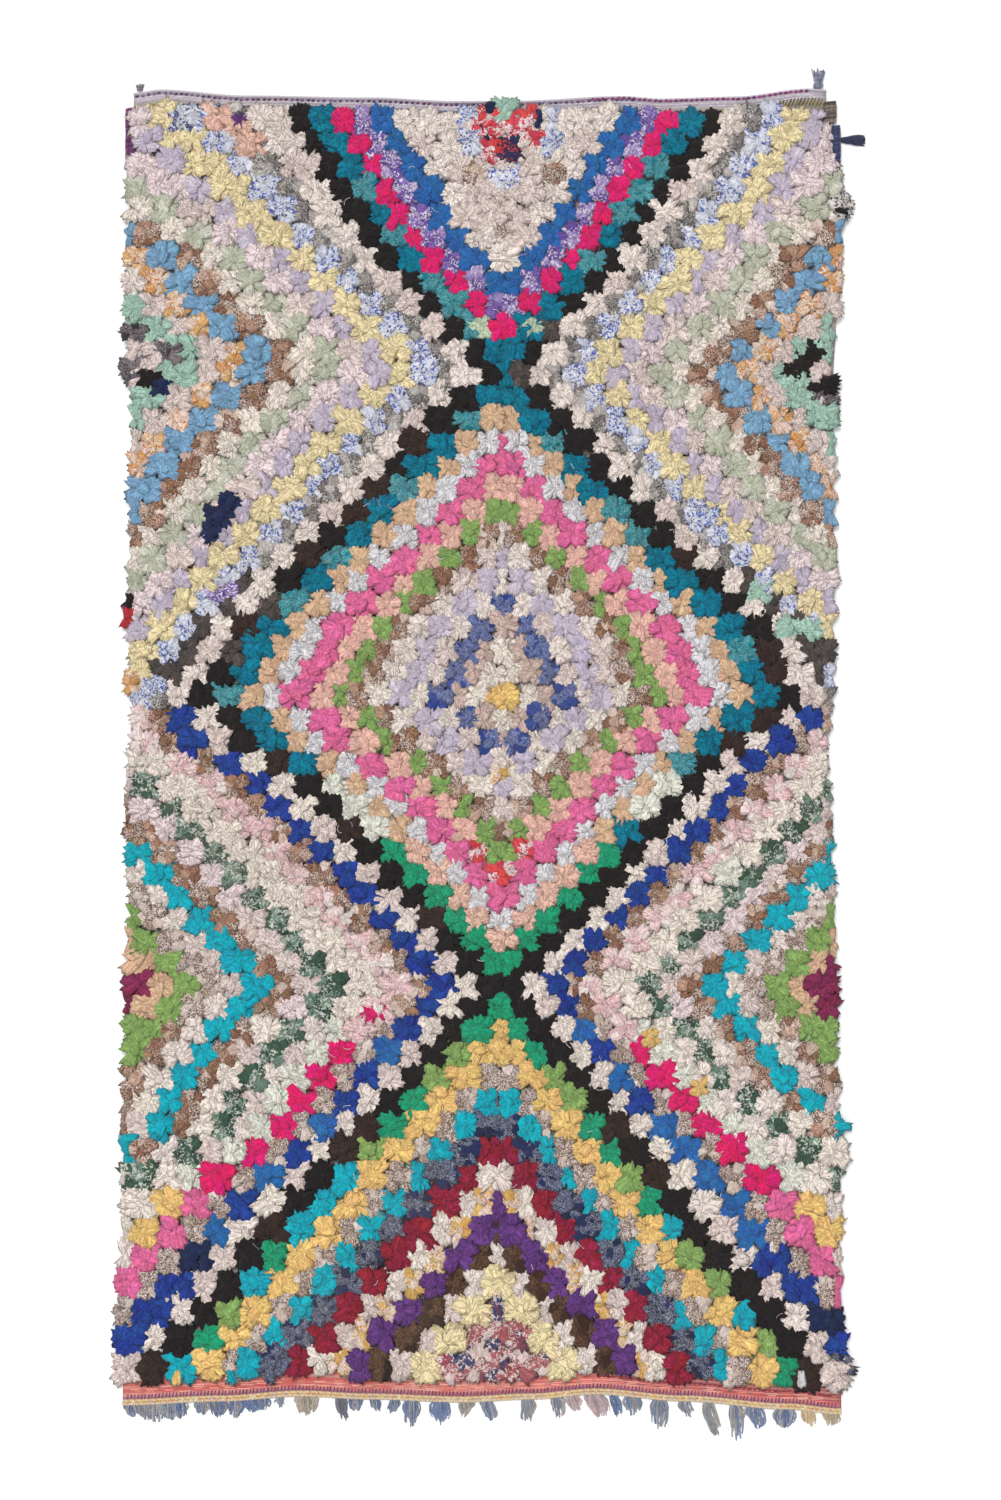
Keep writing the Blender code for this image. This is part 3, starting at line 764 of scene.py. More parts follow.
def make_rag_folds() -> None:
    """Build the group of thin creases that run along a torn rag, each tuft with its own, as bump height
    and as a mask of painted shade in the creases and rib troughs.
    """
    bench, give, take = shader_group(
        "rag_folds",
        {"Pitch": (FLOAT, 1.0), "Ribs": (FLOAT, 0.0)},
        {"Height": FLOAT, "Crease Shade": FLOAT},
    )
    place = bench.attribute("rag_place", "Vector")
    own = bench.math("MULTIPLY", bench.attribute("tuft"), 61.0)
    along = bench.vector_math("MULTIPLY", place, (1.0, 0.36, 1.0))
    broad = bench.noise(along, give["Pitch"], 1.0, own, 0.8)
    small = bench.noise(
        bench.vector_math("MULTIPLY", place, (1.0, 0.6, 1.0)),
        bench.math("MULTIPLY", give["Pitch"], 2.3), 1.0, own, 0.6,
    )
    crease = bench.ramp(bench.math("ABSOLUTE", bench.math("SUBTRACT", broad, 0.5)), 0.012, 0.06, 1.0, 0.0)
    wrinkle = bench.ramp(bench.math("ABSOLUTE", bench.math("SUBTRACT", small, 0.5)), 0.01, 0.07, 1.0, 0.0)
    across = bench.add("ShaderNodeSeparateXYZ", {0: place}).outputs[0]
    rib = bench.math("SINE", bench.math("MULTIPLY", across, 21.0))
    ribbed = bench.math("MULTIPLY", rib, give["Ribs"])
    low = bench.math("MULTIPLY_ADD", wrinkle, 0.4, crease)
    soft = bench.math("MULTIPLY_ADD", small, 0.8, bench.math("MULTIPLY", broad, 1.2))
    height = bench.math("SUBTRACT", bench.math("MULTIPLY_ADD", ribbed, 0.1, soft), low)
    bench.feed(take["Height"], height)
    # Painted shade: crease lines, wrinkles and rib troughs make the mask that darkens the colour where
    # shade falls in the folds.
    slits = bench.math("MULTIPLY_ADD", bench.ramp(ribbed, 0.0, -1.0), 0.5, low)
    bench.feed(take["Crease Shade"], bench.math("MINIMUM", slits, 1.0))


def make_rag_marl() -> None:
    """Build the group that spots a cloth with its second colour."""
    bench, give, take = shader_group(
        "rag_marl",
        {"Main": (COLOUR, WHITE), "Second": (COLOUR, WHITE), "Pitch": (FLOAT, 4.0),
         "Cover": (FLOAT, 0.5), "Edge": (FLOAT, 0.05), "Stretch": (FLOAT, 1.0)},
        {"Colour": COLOUR},
    )
    place = bench.attribute("rag_place", "Vector")
    own = bench.math("MULTIPLY", bench.attribute("tuft"), 37.0)
    wide = bench.add("ShaderNodeCombineXYZ", {0: give["Stretch"], 1: 1.0, 2: 1.0}).outputs[0]
    spots = bench.noise(
        bench.vector_math("MULTIPLY", place, wide), give["Pitch"], 1.5, own, 0.8
    )
    limit = bench.math("SUBTRACT", 1.0, give["Cover"])
    low = bench.math("SUBTRACT", limit, give["Edge"])
    mask = bench.ramp(spots, low, bench.math("ADD", limit, give["Edge"]))
    bench.feed(take["Colour"], bench.mix(mask, give["Main"], give["Second"]))


def make_rag_fleck() -> None:
    """Build the group that runs thin curling flecks of thread through parts of a cloth."""
    bench, give, take = shader_group(
        "rag_fleck",
        {"Main": (COLOUR, WHITE), "Second": (COLOUR, WHITE), "Pitch": (FLOAT, 4.0),
         "Width": (FLOAT, 0.016), "Cover": (FLOAT, 0.66)},
        {"Colour": COLOUR},
    )
    place = bench.attribute("rag_place", "Vector")
    own = bench.math("MULTIPLY", bench.attribute("tuft"), 29.0)
    curls = bench.noise(place, give["Pitch"], 1.0, own, 1.4)
    off = bench.math("ABSOLUTE", bench.math("SUBTRACT", curls, 0.5))
    far = bench.math("MULTIPLY", give["Width"], 1.6)
    mask = bench.ramp(off, give["Width"], far, 1.0, 0.0)
    patch = bench.noise(place, 0.9, 0.0, own)
    limit = bench.math("SUBTRACT", 1.0, give["Cover"])
    shown = bench.ramp(patch, bench.math("SUBTRACT", limit, 0.04), bench.math("ADD", limit, 0.04))
    mask = bench.math("MULTIPLY", mask, shown)
    bench.feed(take["Colour"], bench.mix(mask, give["Main"], give["Second"]))


def make_cloth_grain() -> None:
    """Build the group of fine cloth grain that every finish shares."""
    bench, give, take = shader_group(
        "cloth_grain", {"Pitch": (FLOAT, 900.0)}, {"Height": FLOAT, "Shade": FLOAT}
    )
    place = bench.add("ShaderNodeTexCoord").outputs["Object"]
    grain = bench.noise(place, give["Pitch"], 2.0)
    bench.feed(take["Height"], grain)
    bench.feed(take["Shade"], bench.ramp(grain, 0.35, 0.65))


class Pattern(Enum):
    """How a cloth's second colour shows."""

    PLAIN = "plain"
    RIBBED = "ribbed"
    MARLED = "marled"
    PRINTED = "printed"
    FLECKED = "flecked"


def grouped(bench: NodeBench, name: str, inputs: dict[str, Any]) -> bpy.types.Node:
    """Place a shader group in a material with its own values."""
    node = bench.add("ShaderNodeGroup", node_tree=GROUPS[name])
    for key, value in inputs.items():
        bench.feed(node.inputs[key], value)
    return node


def start_material(name: str, roughness: float, sheen: float) -> tuple[NodeBench, bpy.types.Node]:
    """Start a cloth material.

    Args:
        name: The material's name.
        roughness: How matt the cloth is.
        sheen: How much soft light its nap throws back.

    Returns:
        The bench for its nodes and its shader.
    """
    material = bpy.data.materials.new(name)
    material.use_nodes = True
    bench = NodeBench(material.node_tree)
    shader = material.node_tree.nodes["Principled BSDF"]
    shader.inputs["Roughness"].default_value = roughness
    shader.inputs["Sheen Weight"].default_value = sheen
    shader.inputs["Sheen Roughness"].default_value = 0.5
    shader.inputs["Specular IOR Level"].default_value = 0.2
    return bench, shader


@dataclass(frozen=True)
class RagFinish:
    """The finish of one batch of rags, from crisp cotton to soft mottled knit."""

    name: str
    pattern: Pattern = Pattern.PLAIN
    roughness: float = 0.88
    sheen: float = 0.12
    spread: float = 0.16
    soil: float = 0.1
    fold_pitch: float = 1.5
    fold_depth: float = 0.8
    hollow_shade: float = 0.25
    pattern_pitch: float = 3.0
    cover: float = 0.5

    def material(self) -> bpy.types.Material:
        """Build the material from the rags' own attributes and the shared groups, with painted shade
        darkening the colour along its creases.
        """
        bench, shader = start_material(self.name, self.roughness, self.sheen)
        main = bench.attribute("rag_main", "Color")
        second = bench.attribute("rag_second", "Color")
        if self.pattern in (Pattern.MARLED, Pattern.PRINTED):
            edge = 0.07 if self.pattern is Pattern.MARLED else 0.03
            colour = grouped(bench, "rag_marl", {
                "Main": main, "Second": second, "Pitch": self.pattern_pitch,
                "Cover": self.cover, "Edge": edge,
            }).outputs["Colour"]
        elif self.pattern is Pattern.FLECKED:
            colour = grouped(bench, "rag_fleck", {
                "Main": main, "Second": second, "Pitch": self.pattern_pitch,
            }).outputs["Colour"]
        else:
            colour = grouped(bench, "rag_marl", {
                "Main": main, "Second": second, "Pitch": self.pattern_pitch,
                "Cover": self.cover, "Edge": 0.25, "Stretch": 2.4,
            }).outputs["Colour"]
        tinted = grouped(bench, "tuft_tint", {
            "Colour": colour, "Spread": self.spread, "Soil": self.soil,
        }).outputs["Colour"]
        ribs = 1.0 if self.pattern is Pattern.RIBBED else 0.0
        folds = grouped(bench, "rag_folds", {"Pitch": self.fold_pitch, "Ribs": ribs})
        # Painted shade: the colour is multiplied darker along the creases and rib troughs, where shade
        # falls.
        shade = bench.math("MULTIPLY", folds.outputs["Crease Shade"], self.hollow_shade)
        darker = bench.mix(1.0, tinted, linear("#8A7A74"), "MULTIPLY")
        grain = grouped(bench, "cloth_grain", {"Pitch": 700.0})
        fine = bench.math("MULTIPLY", grain.outputs["Shade"], 0.08)
        bench.feed(shader.inputs["Base Color"], bench.mix(
            fine, bench.mix(shade, tinted, darker), linear("#6F6660"), "MULTIPLY"
        ))
        height = bench.math("MULTIPLY_ADD", grain.outputs["Height"], 0.12, folds.outputs["Height"])
        bump = bench.add("ShaderNodeBump", {
            "Strength": self.fold_depth, "Distance": 0.0022, "Height": height,
        })
        bench.feed(shader.inputs["Normal"], bump.outputs[0])
        return bench_material(bench)


def bench_material(bench: NodeBench) -> bpy.types.Material:
    """Return the material that owns a bench's tree."""
    return next(m for m in bpy.data.materials if m.node_tree == bench.tree)


@dataclass(frozen=True)
class YarnFinish:
    """The finish of spun yarn, whose colour comes with each strand."""

    name: str
    roughness: float = 0.9
    sheen: float = 0.25
    spread: float = 0.2
    twist: float = 1.1
    # How dark the painted shade in the grooves between plies is.
    groove_shade: float = 0.35

    def material(self) -> bpy.types.Material:
        """Build the yarn material, with the slant of its plies, painted shade in the grooves between
        them, and its fuzz.
        """
        bench, shader = start_material(self.name, self.roughness, self.sheen)
        colour = grouped(bench, "tuft_tint", {
            "Colour": bench.attribute("rag_main", "Color"), "Spread": self.spread, "Soil": 0.1,
        }).outputs["Colour"]
        place = bench.attribute("rag_place", "Vector")
        parts = bench.add("ShaderNodeSeparateXYZ", {0: place})
        run = bench.math("MULTIPLY_ADD", parts.outputs[1], self.twist, parts.outputs[0])
        ply = bench.math("SINE", bench.math("MULTIPLY", run, math.tau))
        grain = grouped(bench, "cloth_grain", {"Pitch": 1100.0})
        height = bench.math("MULTIPLY_ADD", ply, 0.3, grain.outputs["Height"])
        # Painted shade: the grooves between the plies are darkened in the colour.
        groove_shade = bench.ramp(ply, -1.0, 0.2, self.groove_shade, 0.0)
        darker = bench.mix(1.0, colour, linear("#7A6E6A"), "MULTIPLY")
        bench.feed(shader.inputs["Base Color"], bench.mix(groove_shade, colour, darker))
        bump = bench.add("ShaderNodeBump", {"Strength": 0.7, "Distance": 0.0009, "Height": height})
        bench.feed(shader.inputs["Normal"], bump.outputs[0])
        return bench_material(bench)


@dataclass(frozen=True)
class GroundFinish:
    """The finish of the woven ground, whose stripes follow its two ends."""

    name: str = "ground_weave"
    warp_pitch: float = 0.0042
    weft_pitch: float = 0.0023

    def material(self) -> bpy.types.Material:
        """Build a weft-faced weave over the colour that the mesh carries, with painted shade in the low
        places between its crowns.
        """
        bench, shader = start_material(self.name, 0.92, 0.15)
        colour = grouped(bench, "tuft_tint", {
            "Colour": bench.attribute("rag_main", "Color"), "Spread": 0.0, "Soil": 0.18,
        }).outputs["Colour"]
        place = bench.attribute("rag_place", "Vector")
        parts = bench.add("ShaderNodeSeparateXYZ", {0: place})
        warp = bench.math("MULTIPLY", parts.outputs[0], math.tau / (self.warp_pitch * 100.0))
        row = bench.math("MULTIPLY", parts.outputs[1], math.pi / (self.weft_pitch * 100.0))
        flip = bench.math("MULTIPLY", bench.math("SIGN", bench.math("SINE", row)), math.pi / 2.0)
        over = bench.math("SINE", bench.math("ADD", warp, flip))
        crown = bench.math("ABSOLUTE", bench.math("SINE", row))
        weave = bench.math("MULTIPLY_ADD", over, 0.5, crown)
        # Painted shade: where the weave sits low between the weft crowns, the colour is darkened.
        dark = bench.mix(1.0, colour, linear("#6C605C"), "MULTIPLY")
        groove_shade = bench.ramp(weave, -0.3, 0.7, 0.75, 0.0)
        grain = grouped(bench, "cloth_grain", {"Pitch": 500.0})
        flecks = bench.math("MULTIPLY", grain.outputs["Shade"], 0.3)
        shaded = bench.mix(groove_shade, colour, dark)
        bench.feed(shader.inputs["Base Color"], bench.mix(flecks, shaded, linear("#9A8F92")))
        bump = bench.add("ShaderNodeBump", {"Strength": 0.8, "Distance": 0.0011, "Height": weave})
        bench.feed(shader.inputs["Normal"], bump.outputs[0])
        return bench_material(bench)


def plant(piece: bpy.types.Object, tree: bpy.types.NodeTree, values: dict[str, Any]) -> None:
    """Put a Geometry Nodes modifier on an object and set its inputs by their identifiers.

    Args:
        piece: The object that the tree reads.
        tree: The node tree.
        values: Values for its inputs, by socket name.
    """
    modifier = piece.modifiers.new(tree.name, "NODES")
    modifier.node_group = tree
    for item in tree.interface.items_tree:
        if item.item_type == "SOCKET" and item.in_out == "INPUT" and item.name in values:
            modifier[item.identifier] = values[item.name]


def harvest(source: bpy.types.Object, name: str) -> bpy.types.Object:
    """Turn what a tree makes into a plain mesh of its own, and drop the object it grew from.

    Args:
        source: The object with the Geometry Nodes modifier.
        name: The finished piece's name.

    Returns:
        The finished piece.
    """
    graph = bpy.context.evaluated_depsgraph_get()
    mesh = bpy.data.meshes.new_from_object(
        source.evaluated_get(graph), preserve_all_data_layers=True, depsgraph=graph
    )
    mesh.name = name
    old = source.data
    source.modifiers.clear()
    bpy.data.objects.remove(source)
    bpy.data.meshes.remove(old)
    piece = placed(name, mesh)
    for layer in ("pick", "turn", "size", "cell", "thick"):
        found = mesh.attributes.get(layer)
        if found is not None:
            mesh.attributes.remove(found)
    return piece


def point_object(name: str, places: Sequence[Sequence[float]], edges: Sequence[tuple[int, int]],
                 layers: dict[str, tuple[str, np.ndarray]]) -> bpy.types.Object:
    """Make a mesh of points, or of lines, that carries values for a tree.

    Args:
        name: The object's name.
        places: The points, in metres.
        edges: Pairs of points that are joined.
        layers: Attribute kinds and values, by name.

    Returns:
        The object, linked to the scene.
    """
    mesh = bpy.data.meshes.new(name)
    mesh.from_pydata([tuple(p) for p in places], list(edges), [])
    for label, (kind, values) in layers.items():
        carry(mesh, label, kind, values)
    return placed(name, mesh)


def geometry_tree(name: str, inputs: dict[str, tuple[str, Any]]
                  ) -> tuple[NodeBench, Sockets, Sockets]:
    """Start a Geometry Nodes tree with named inputs.

    Args:
        name: The tree's name.
        inputs: Socket kinds and defaults, by name.

    Returns:
        The bench for its nodes, the sockets it is given and the sockets it fills.
    """
    tree = bpy.data.node_groups.new(name, "GeometryNodeTree")
    geometry = "NodeSocketGeometry"
    tree.interface.new_socket("Geometry", in_out="INPUT", socket_type=geometry)
    for label, (kind, value) in inputs.items():
        socket = tree.interface.new_socket(label, in_out="INPUT", socket_type=kind)
        if value is not None:
            socket.default_value = value
    tree.interface.new_socket("Geometry", in_out="OUTPUT", socket_type=geometry)
    bench = NodeBench(tree)
    return bench, bench.add("NodeGroupInput").outputs, bench.add("NodeGroupOutput").inputs


def named(bench: NodeBench, label: str, kind: str) -> Socket:
    """Read a named attribute in a Geometry Nodes tree."""
    node = bench.add("GeometryNodeInputNamedAttribute", {"Name": label}, data_type=kind)
    return node.outputs[0]


def knot_tree() -> bpy.types.NodeTree:
    """Build the tree that knots a rag on every point and crumples the pile as a whole."""
    bench, give, take = geometry_tree("knot_rags", {
        "Rags": ("NodeSocketCollection", None),
        "Crumple Pitch": (FLOAT, 0.008),
        "Crumple Depth": (FLOAT, 0.002),
        "Cells Across": (FLOAT, 50.0),
        "Floor Gap": (FLOAT, 0.0005),
        "Cloth": ("NodeSocketMaterial", None),
        "Seed": ("NodeSocketInt", 7),
    })
    rags = bench.add("GeometryNodeCollectionInfo", {
        "Collection": give["Rags"], "Separate Children": True, "Reset Children": True,
    })
    turn = bench.add("FunctionNodeEulerToRotation", {0: named(bench, "turn", "FLOAT_VECTOR")})
    knots = bench.add("GeometryNodeInstanceOnPoints", {
        "Points": give["Geometry"], "Instance": rags.outputs[0], "Pick Instance": True,
        "Instance Index": named(bench, "pick", "INT"), "Rotation": turn.outputs[0],
        "Scale": named(bench, "size", "FLOAT_VECTOR"),
    })
    real = bench.add("GeometryNodeRealizeInstances", {0: knots.outputs[0]})
    place = bench.add("GeometryNodeInputPosition").outputs[0]
    seed = bench.math("MULTIPLY", give["Seed"], 3.7)
    crumple = bench.add("ShaderNodeTexNoise", {
        "Vector": place, "W": seed, "Detail": 1.0,
        "Scale": bench.math("DIVIDE", 1.0, give["Crumple Pitch"]),
    }, noise_dimensions="4D").outputs[1]
    centred = bench.vector_math("SUBTRACT", crumple, (0.5, 0.5, 0.5))
    twice = bench.math("MULTIPLY", give["Crumple Depth"], 4.0)
    shift = bench.add("ShaderNodeVectorMath", {0: centred, "Scale": twice}, operation="SCALE")
    moved = bench.add("GeometryNodeSetPosition", {
        "Geometry": real.outputs[0], "Offset": shift.outputs[0],
    })
    spot = bench.add("ShaderNodeSeparateXYZ", {0: bench.add("GeometryNodeInputPosition").outputs[0]})
    kept = bench.math("MAXIMUM", spot.outputs[2], give["Floor Gap"])
    laid = bench.add("GeometryNodeSetPosition", {
        "Geometry": moved.outputs[0],
        "Position": bench.add("ShaderNodeCombineXYZ", {
            0: spot.outputs[0], 1: spot.outputs[1], 2: kept,
        }).outputs[0],
    })
    local = named(bench, "OFBake", "FLOAT_VECTOR")
    cell = bench.vector_math("ADD", local, named(bench, "cell", "FLOAT_VECTOR"))
    share = bench.math("DIVIDE", 1.0, give["Cells Across"])
    spread = bench.add("ShaderNodeVectorMath", {0: cell, "Scale": share}, operation="SCALE")
    charted = bench.add("GeometryNodeStoreNamedAttribute", {
        "Geometry": laid.outputs[0], "Name": "OFBake", "Value": spread.outputs[0],
    }, data_type="FLOAT2", domain="CORNER")
    dyed = bench.add("GeometryNodeSetMaterial", {
        "Geometry": charted.outputs[0], "Material": give["Cloth"],
    })
    bench.feed(take[0], dyed.outputs[0])
    return bench.tree


def yarn_tree() -> bpy.types.NodeTree:
    """Build the tree that lays yarn along every line of a mesh, as thick as the line says."""
    bench, give, take = geometry_tree("lay_yarn", {
        "Sides": ("NodeSocketInt", 6),
        "Flatness": (FLOAT, 1.0),
        "Yarn": ("NodeSocketMaterial", None),
    })
    lines = bench.add("GeometryNodeMeshToCurve", {0: give["Geometry"]})
    ring = bench.add("GeometryNodeCurvePrimitiveCircle", {
        "Resolution": give["Sides"], "Radius": 1.0,
    })
    flat = bench.add("ShaderNodeCombineXYZ", {0: 1.0, 1: give["Flatness"], 2: 1.0})
    shaped = bench.add("GeometryNodeTransform", {
        "Geometry": ring.outputs[0], "Scale": flat.outputs[0],
    })
    tube = bench.add("GeometryNodeCurveToMesh", {
        "Curve": lines.outputs[0], "Profile Curve": shaped.outputs[0],
        "Scale": named(bench, "thick", "FLOAT"), "Fill Caps": True,
    })
    real = bench.add("GeometryNodeRealizeInstances", {0: tube.outputs[0]})
    smooth = bench.add("GeometryNodeSetShadeSmooth", {0: real.outputs[0]})
    dyed = bench.add("GeometryNodeSetMaterial", {
        "Geometry": smooth.outputs[0], "Material": give["Yarn"],
    })
    bench.feed(take[0], dyed.outputs[0])
    return bench.tree


@dataclass
class TornRag:
    """The crumpled end of a torn rag strip, as it stands out of its knot, in millimetres."""

    length: float = 28.0
    width: float = 22.0
    back: float = 4.0
    stations: tuple[float, ...] = (0.0, 0.26, 0.54, 0.8, 1.0)
    across: int = 5
    rise: Table = ((0.0, 12.4), (0.26, 14.1), (0.54, 14.3), (0.8, 13.5), (1.0, 11.2))
    spread: Table = ((0.0, 0.66), (0.26, 0.88), (0.6, 1.06), (0.8, 1.06), (1.0, 0.94))
    side_drop: float = 2.3
    pleat: float = 0.9
    sway: float = 3.0
    ragged: float = 4.0

    def build(self, name: str, draw: random.Random) -> bpy.types.Object:
        """Make one closed rag end with its own pleats and torn tip.

        Args:
            name: The object's name.
            draw: Its own random numbers.

        Returns:
            The rag end, rooted at the origin and pointing along -Y.
        """
        sway = draw.uniform(-self.sway, self.sway)
        sign = draw.choice((-1.0, 1.0))
        pleats = [sign * (-1.0) ** i * draw.uniform(0.4, 1.25) for i in range(self.across)]
        tears = [0.5 * (-1.0) ** (i + 1) + draw.uniform(-0.7, 0.5) for i in range(self.across)]
        verts: list[Point] = []
        charts: list[tuple[float, float]] = []
        for station in self.stations:
            half = self.width / 2.0 * between(self.spread, station)
            for i in range(self.across):
                v = 2.0 * i / (self.across - 1) - 1.0
                wave = pleats[i] * self.pleat * (0.6 + 0.5 * station)
                lift = between(self.rise, station) - self.side_drop * abs(v) ** 2.5
                tear = self.ragged * tears[i] * max(0.0, station - 0.7) / 0.3
                verts.append((
                    v * half + sway * station ** 2 + draw.uniform(-0.8, 0.8),
                    self.back - self.length * station + tear + draw.uniform(-0.8, 0.8),
                    lift + wave + draw.uniform(-0.6, 0.6),
                ))
                charts.append((0.06 + 0.88 * i / (self.across - 1), 0.22 + 0.72 * station))
        faces: list[tuple[int, ...]] = []
        rows = len(self.stations)
        for a in grid_cells(rows, self.across):
            faces.append((a, a + self.across, a + self.across + 1, a + 1))
        low = len(verts)
        verts.append((sway * 0.25, self.back - self.length * 0.45, 1.5))
        ring = grid_rim(rows, self.across)
        top_faces = len(faces)
        for here, there in zip(ring, ring[1:] + ring[:1]):
            faces.append((here, there, low))
        mesh = bpy.data.meshes.new(name)
        mesh.from_pydata([tuple(c * MM for c in v) for v in verts], [], faces, shade_flat=False)
        places = np.array([(x / 10.0, -y / 10.0, z / 20.0) for x, y, z in verts], np.float32)
        carry(mesh, "rag_place", "FLOAT_VECTOR", places)
        uv = mesh.uv_layers.new(name="OFBake")
        for polygon in mesh.polygons:
            under = polygon.index >= top_faces
            for loop, vertex in zip(polygon.loop_indices, polygon.vertices):
                if not under:
                    uv.data[loop].uv = charts[vertex]
                elif vertex == low:
                    uv.data[loop].uv = (0.5, 0.02)
                else:
                    step = (ring.index(vertex) + 0.5) / len(ring)
                    uv.data[loop].uv = (0.06 + 0.88 * step, 0.16)
        return bpy.data.objects.new(name, mesh)


@dataclass
class Knots:
    """A growing list of knots of one batch, with what each one carries."""

    places: list[Point] = field(default_factory=list)
    turns: list[Point] = field(default_factory=list)
    sizes: list[Point] = field(default_factory=list)
    mains: list[tuple[float, ...]] = field(default_factory=list)
    seconds: list[tuple[float, ...]] = field(default_factory=list)
    tufts: list[float] = field(default_factory=list)
    picks: list[int] = field(default_factory=list)


@dataclass
class RagPile:
    """The rows of knotted rag that cover the rug, one piece for each batch of cloth."""

    plan: RugPlan
    tuft_width: float = 44.5
    root_height: float = 5.5
    row_wander: float = 5.5
    turn_spread: float = 13.0
    root_ring: float = 0.32
    overlap: float = 6.0
    cap_lift: float = 1.4
    cap_back: float = 0.35
    second_cap: float = 0.22
    side_lobes_from: float = 15.0
    edge_share: float = 0.78
    rim_share: float = 0.22
    side_margin: float = 6.0
    odd_tufts_seed: int = 999
    batches: dict[Batch, Knots] = field(default_factory=dict)
    kinds: int = 20
    crumple_pitch: float = 0.008
    crumple_depth: float = 0.0012
    seed: int = 5
    finishes: dict[Batch, RagFinish] = field(default_factory=lambda: {
        Batch.CREAM: RagFinish("cream_rag", hollow_shade=0.48, spread=0.1, cover=0.42),
        Batch.PALE: RagFinish("pale_rag", hollow_shade=0.46, spread=0.12, cover=0.45),
        Batch.BRIGHT: RagFinish("bright_rag", hollow_shade=0.3, spread=0.2, soil=0.04),
        Batch.DARK: RagFinish("dark_rag", hollow_shade=0.4, spread=0.3, soil=0.02, sheen=0.06),
        Batch.RIBBED: RagFinish("ribbed_rag", Pattern.RIBBED, hollow_shade=0.26),
        Batch.MARLED: RagFinish(
            "marled_rag", Pattern.MARLED, pattern_pitch=4.2, cover=0.5, hollow_shade=0.25
        ),
        Batch.PRINTED: RagFinish(
            "printed_rag", Pattern.PRINTED, pattern_pitch=2.0, cover=0.46, hollow_shade=0.25
        ),
        Batch.FLECKED: RagFinish(
            "flecked_rag", Pattern.FLECKED, pattern_pitch=5.2, hollow_shade=0.25
        ),
    })

    def rags(self) -> bpy.types.Collection:
        """Make the kinds of rag end that the knots pick from."""
        home = bpy.data.collections.new("rag_ends")
        for i in range(self.kinds):
            home.objects.link(TornRag().build(f"rag_{i:02d}", random.Random(100 + i)))
        return home

    def knot(self, cloth: Cloth, x: float, y: float, z: float, turn: float, size: Point,
             draw: random.Random) -> None:
        """Add one knot to its batch.

        Args:
            cloth: The knot's cloth.
            x: Place across the rug.
            y: Place along the rug.
            z: Height of its root.
            turn: Which way it points, in degrees from -Y.
            size: Its width, length and height against a usual one.
            draw: The row's random numbers.
        """
        rag = cloth.value
        knots = self.batches.setdefault(rag.batch, Knots())
        shades = (rag.main,) + rag.others
        main = draw.choice(shades)
        second = rag.second if draw.random() < 0.75 or not rag.others else draw.choice(shades)
        knots.places.append((x * MM, y * MM, z * MM))
        tilt = math.radians(draw.uniform(-7.0, 7.0))
        roll = math.radians(draw.uniform(-12.0, 12.0))
        knots.turns.append((tilt, roll, math.radians(turn)))
        knots.sizes.append(size)
        knots.mains.append(linear(main))
        knots.seconds.append(linear(second))
        knots.tufts.append(draw.random())
        knots.picks.append(draw.randrange(self.kinds))

    def lay(self) -> None:
        """Knot the whole pile, row by row, and then the odd tufts and the long rag ends."""
        lines = self.plan.row_lines()
        for index, (upper, lower) in enumerate(zip(lines, lines[1:])):
            draw = random.Random(self.seed * 1000 + index)
            middle = (upper + lower) / 2.0
            bound = [between(self.plan.bound_sides, middle, column) for column in (1, 2)]
            left = between(self.plan.side_outline, middle, 1) + self.side_margin + bound[0]
            right = between(self.plan.side_outline, middle, 2) - self.side_margin - bound[1]
            for block in self.plan.blocks(middle, left, right, draw):
                count = max(1, round((block.right - block.left) / self.tuft_width))
                shares = [draw.uniform(0.82, 1.18) for _ in range(count)]
                start = block.left
                for part in shares:
                    half = (block.right - block.left) * part / sum(shares) / 2.0
                    x = start + half
                    start += 2.0 * half
                    y = middle + self.plan.bow(x, middle) + draw.uniform(-1.0, 1.0) * self.row_wander
                    inner = min(max(x, left + half), right - half)
                    oversewn = index == 0 and x > self.plan.oversewn_from
                    bare = self.plan.oversewn_deep if oversewn else 0.0
                    deep = (upper - lower - bare) / 2.0
                    tuft = Tuft(inner, y - bare / 2.0, half, deep, block.cloth)
                    self.lay_tuft(tuft, 0.0, draw)
        draw = random.Random(self.seed * 1000 + self.odd_tufts_seed)
        for tuft in self.plan.tufts:
            self.lay_tuft(tuft, tuft.lift, draw)
        for end in self.plan.rag_ends:
            size = (end.width, end.length, 1.0)
            height = self.root_height + end.lift
            self.knot(end.cloth, end.x, end.y, height, end.turn, size, draw)

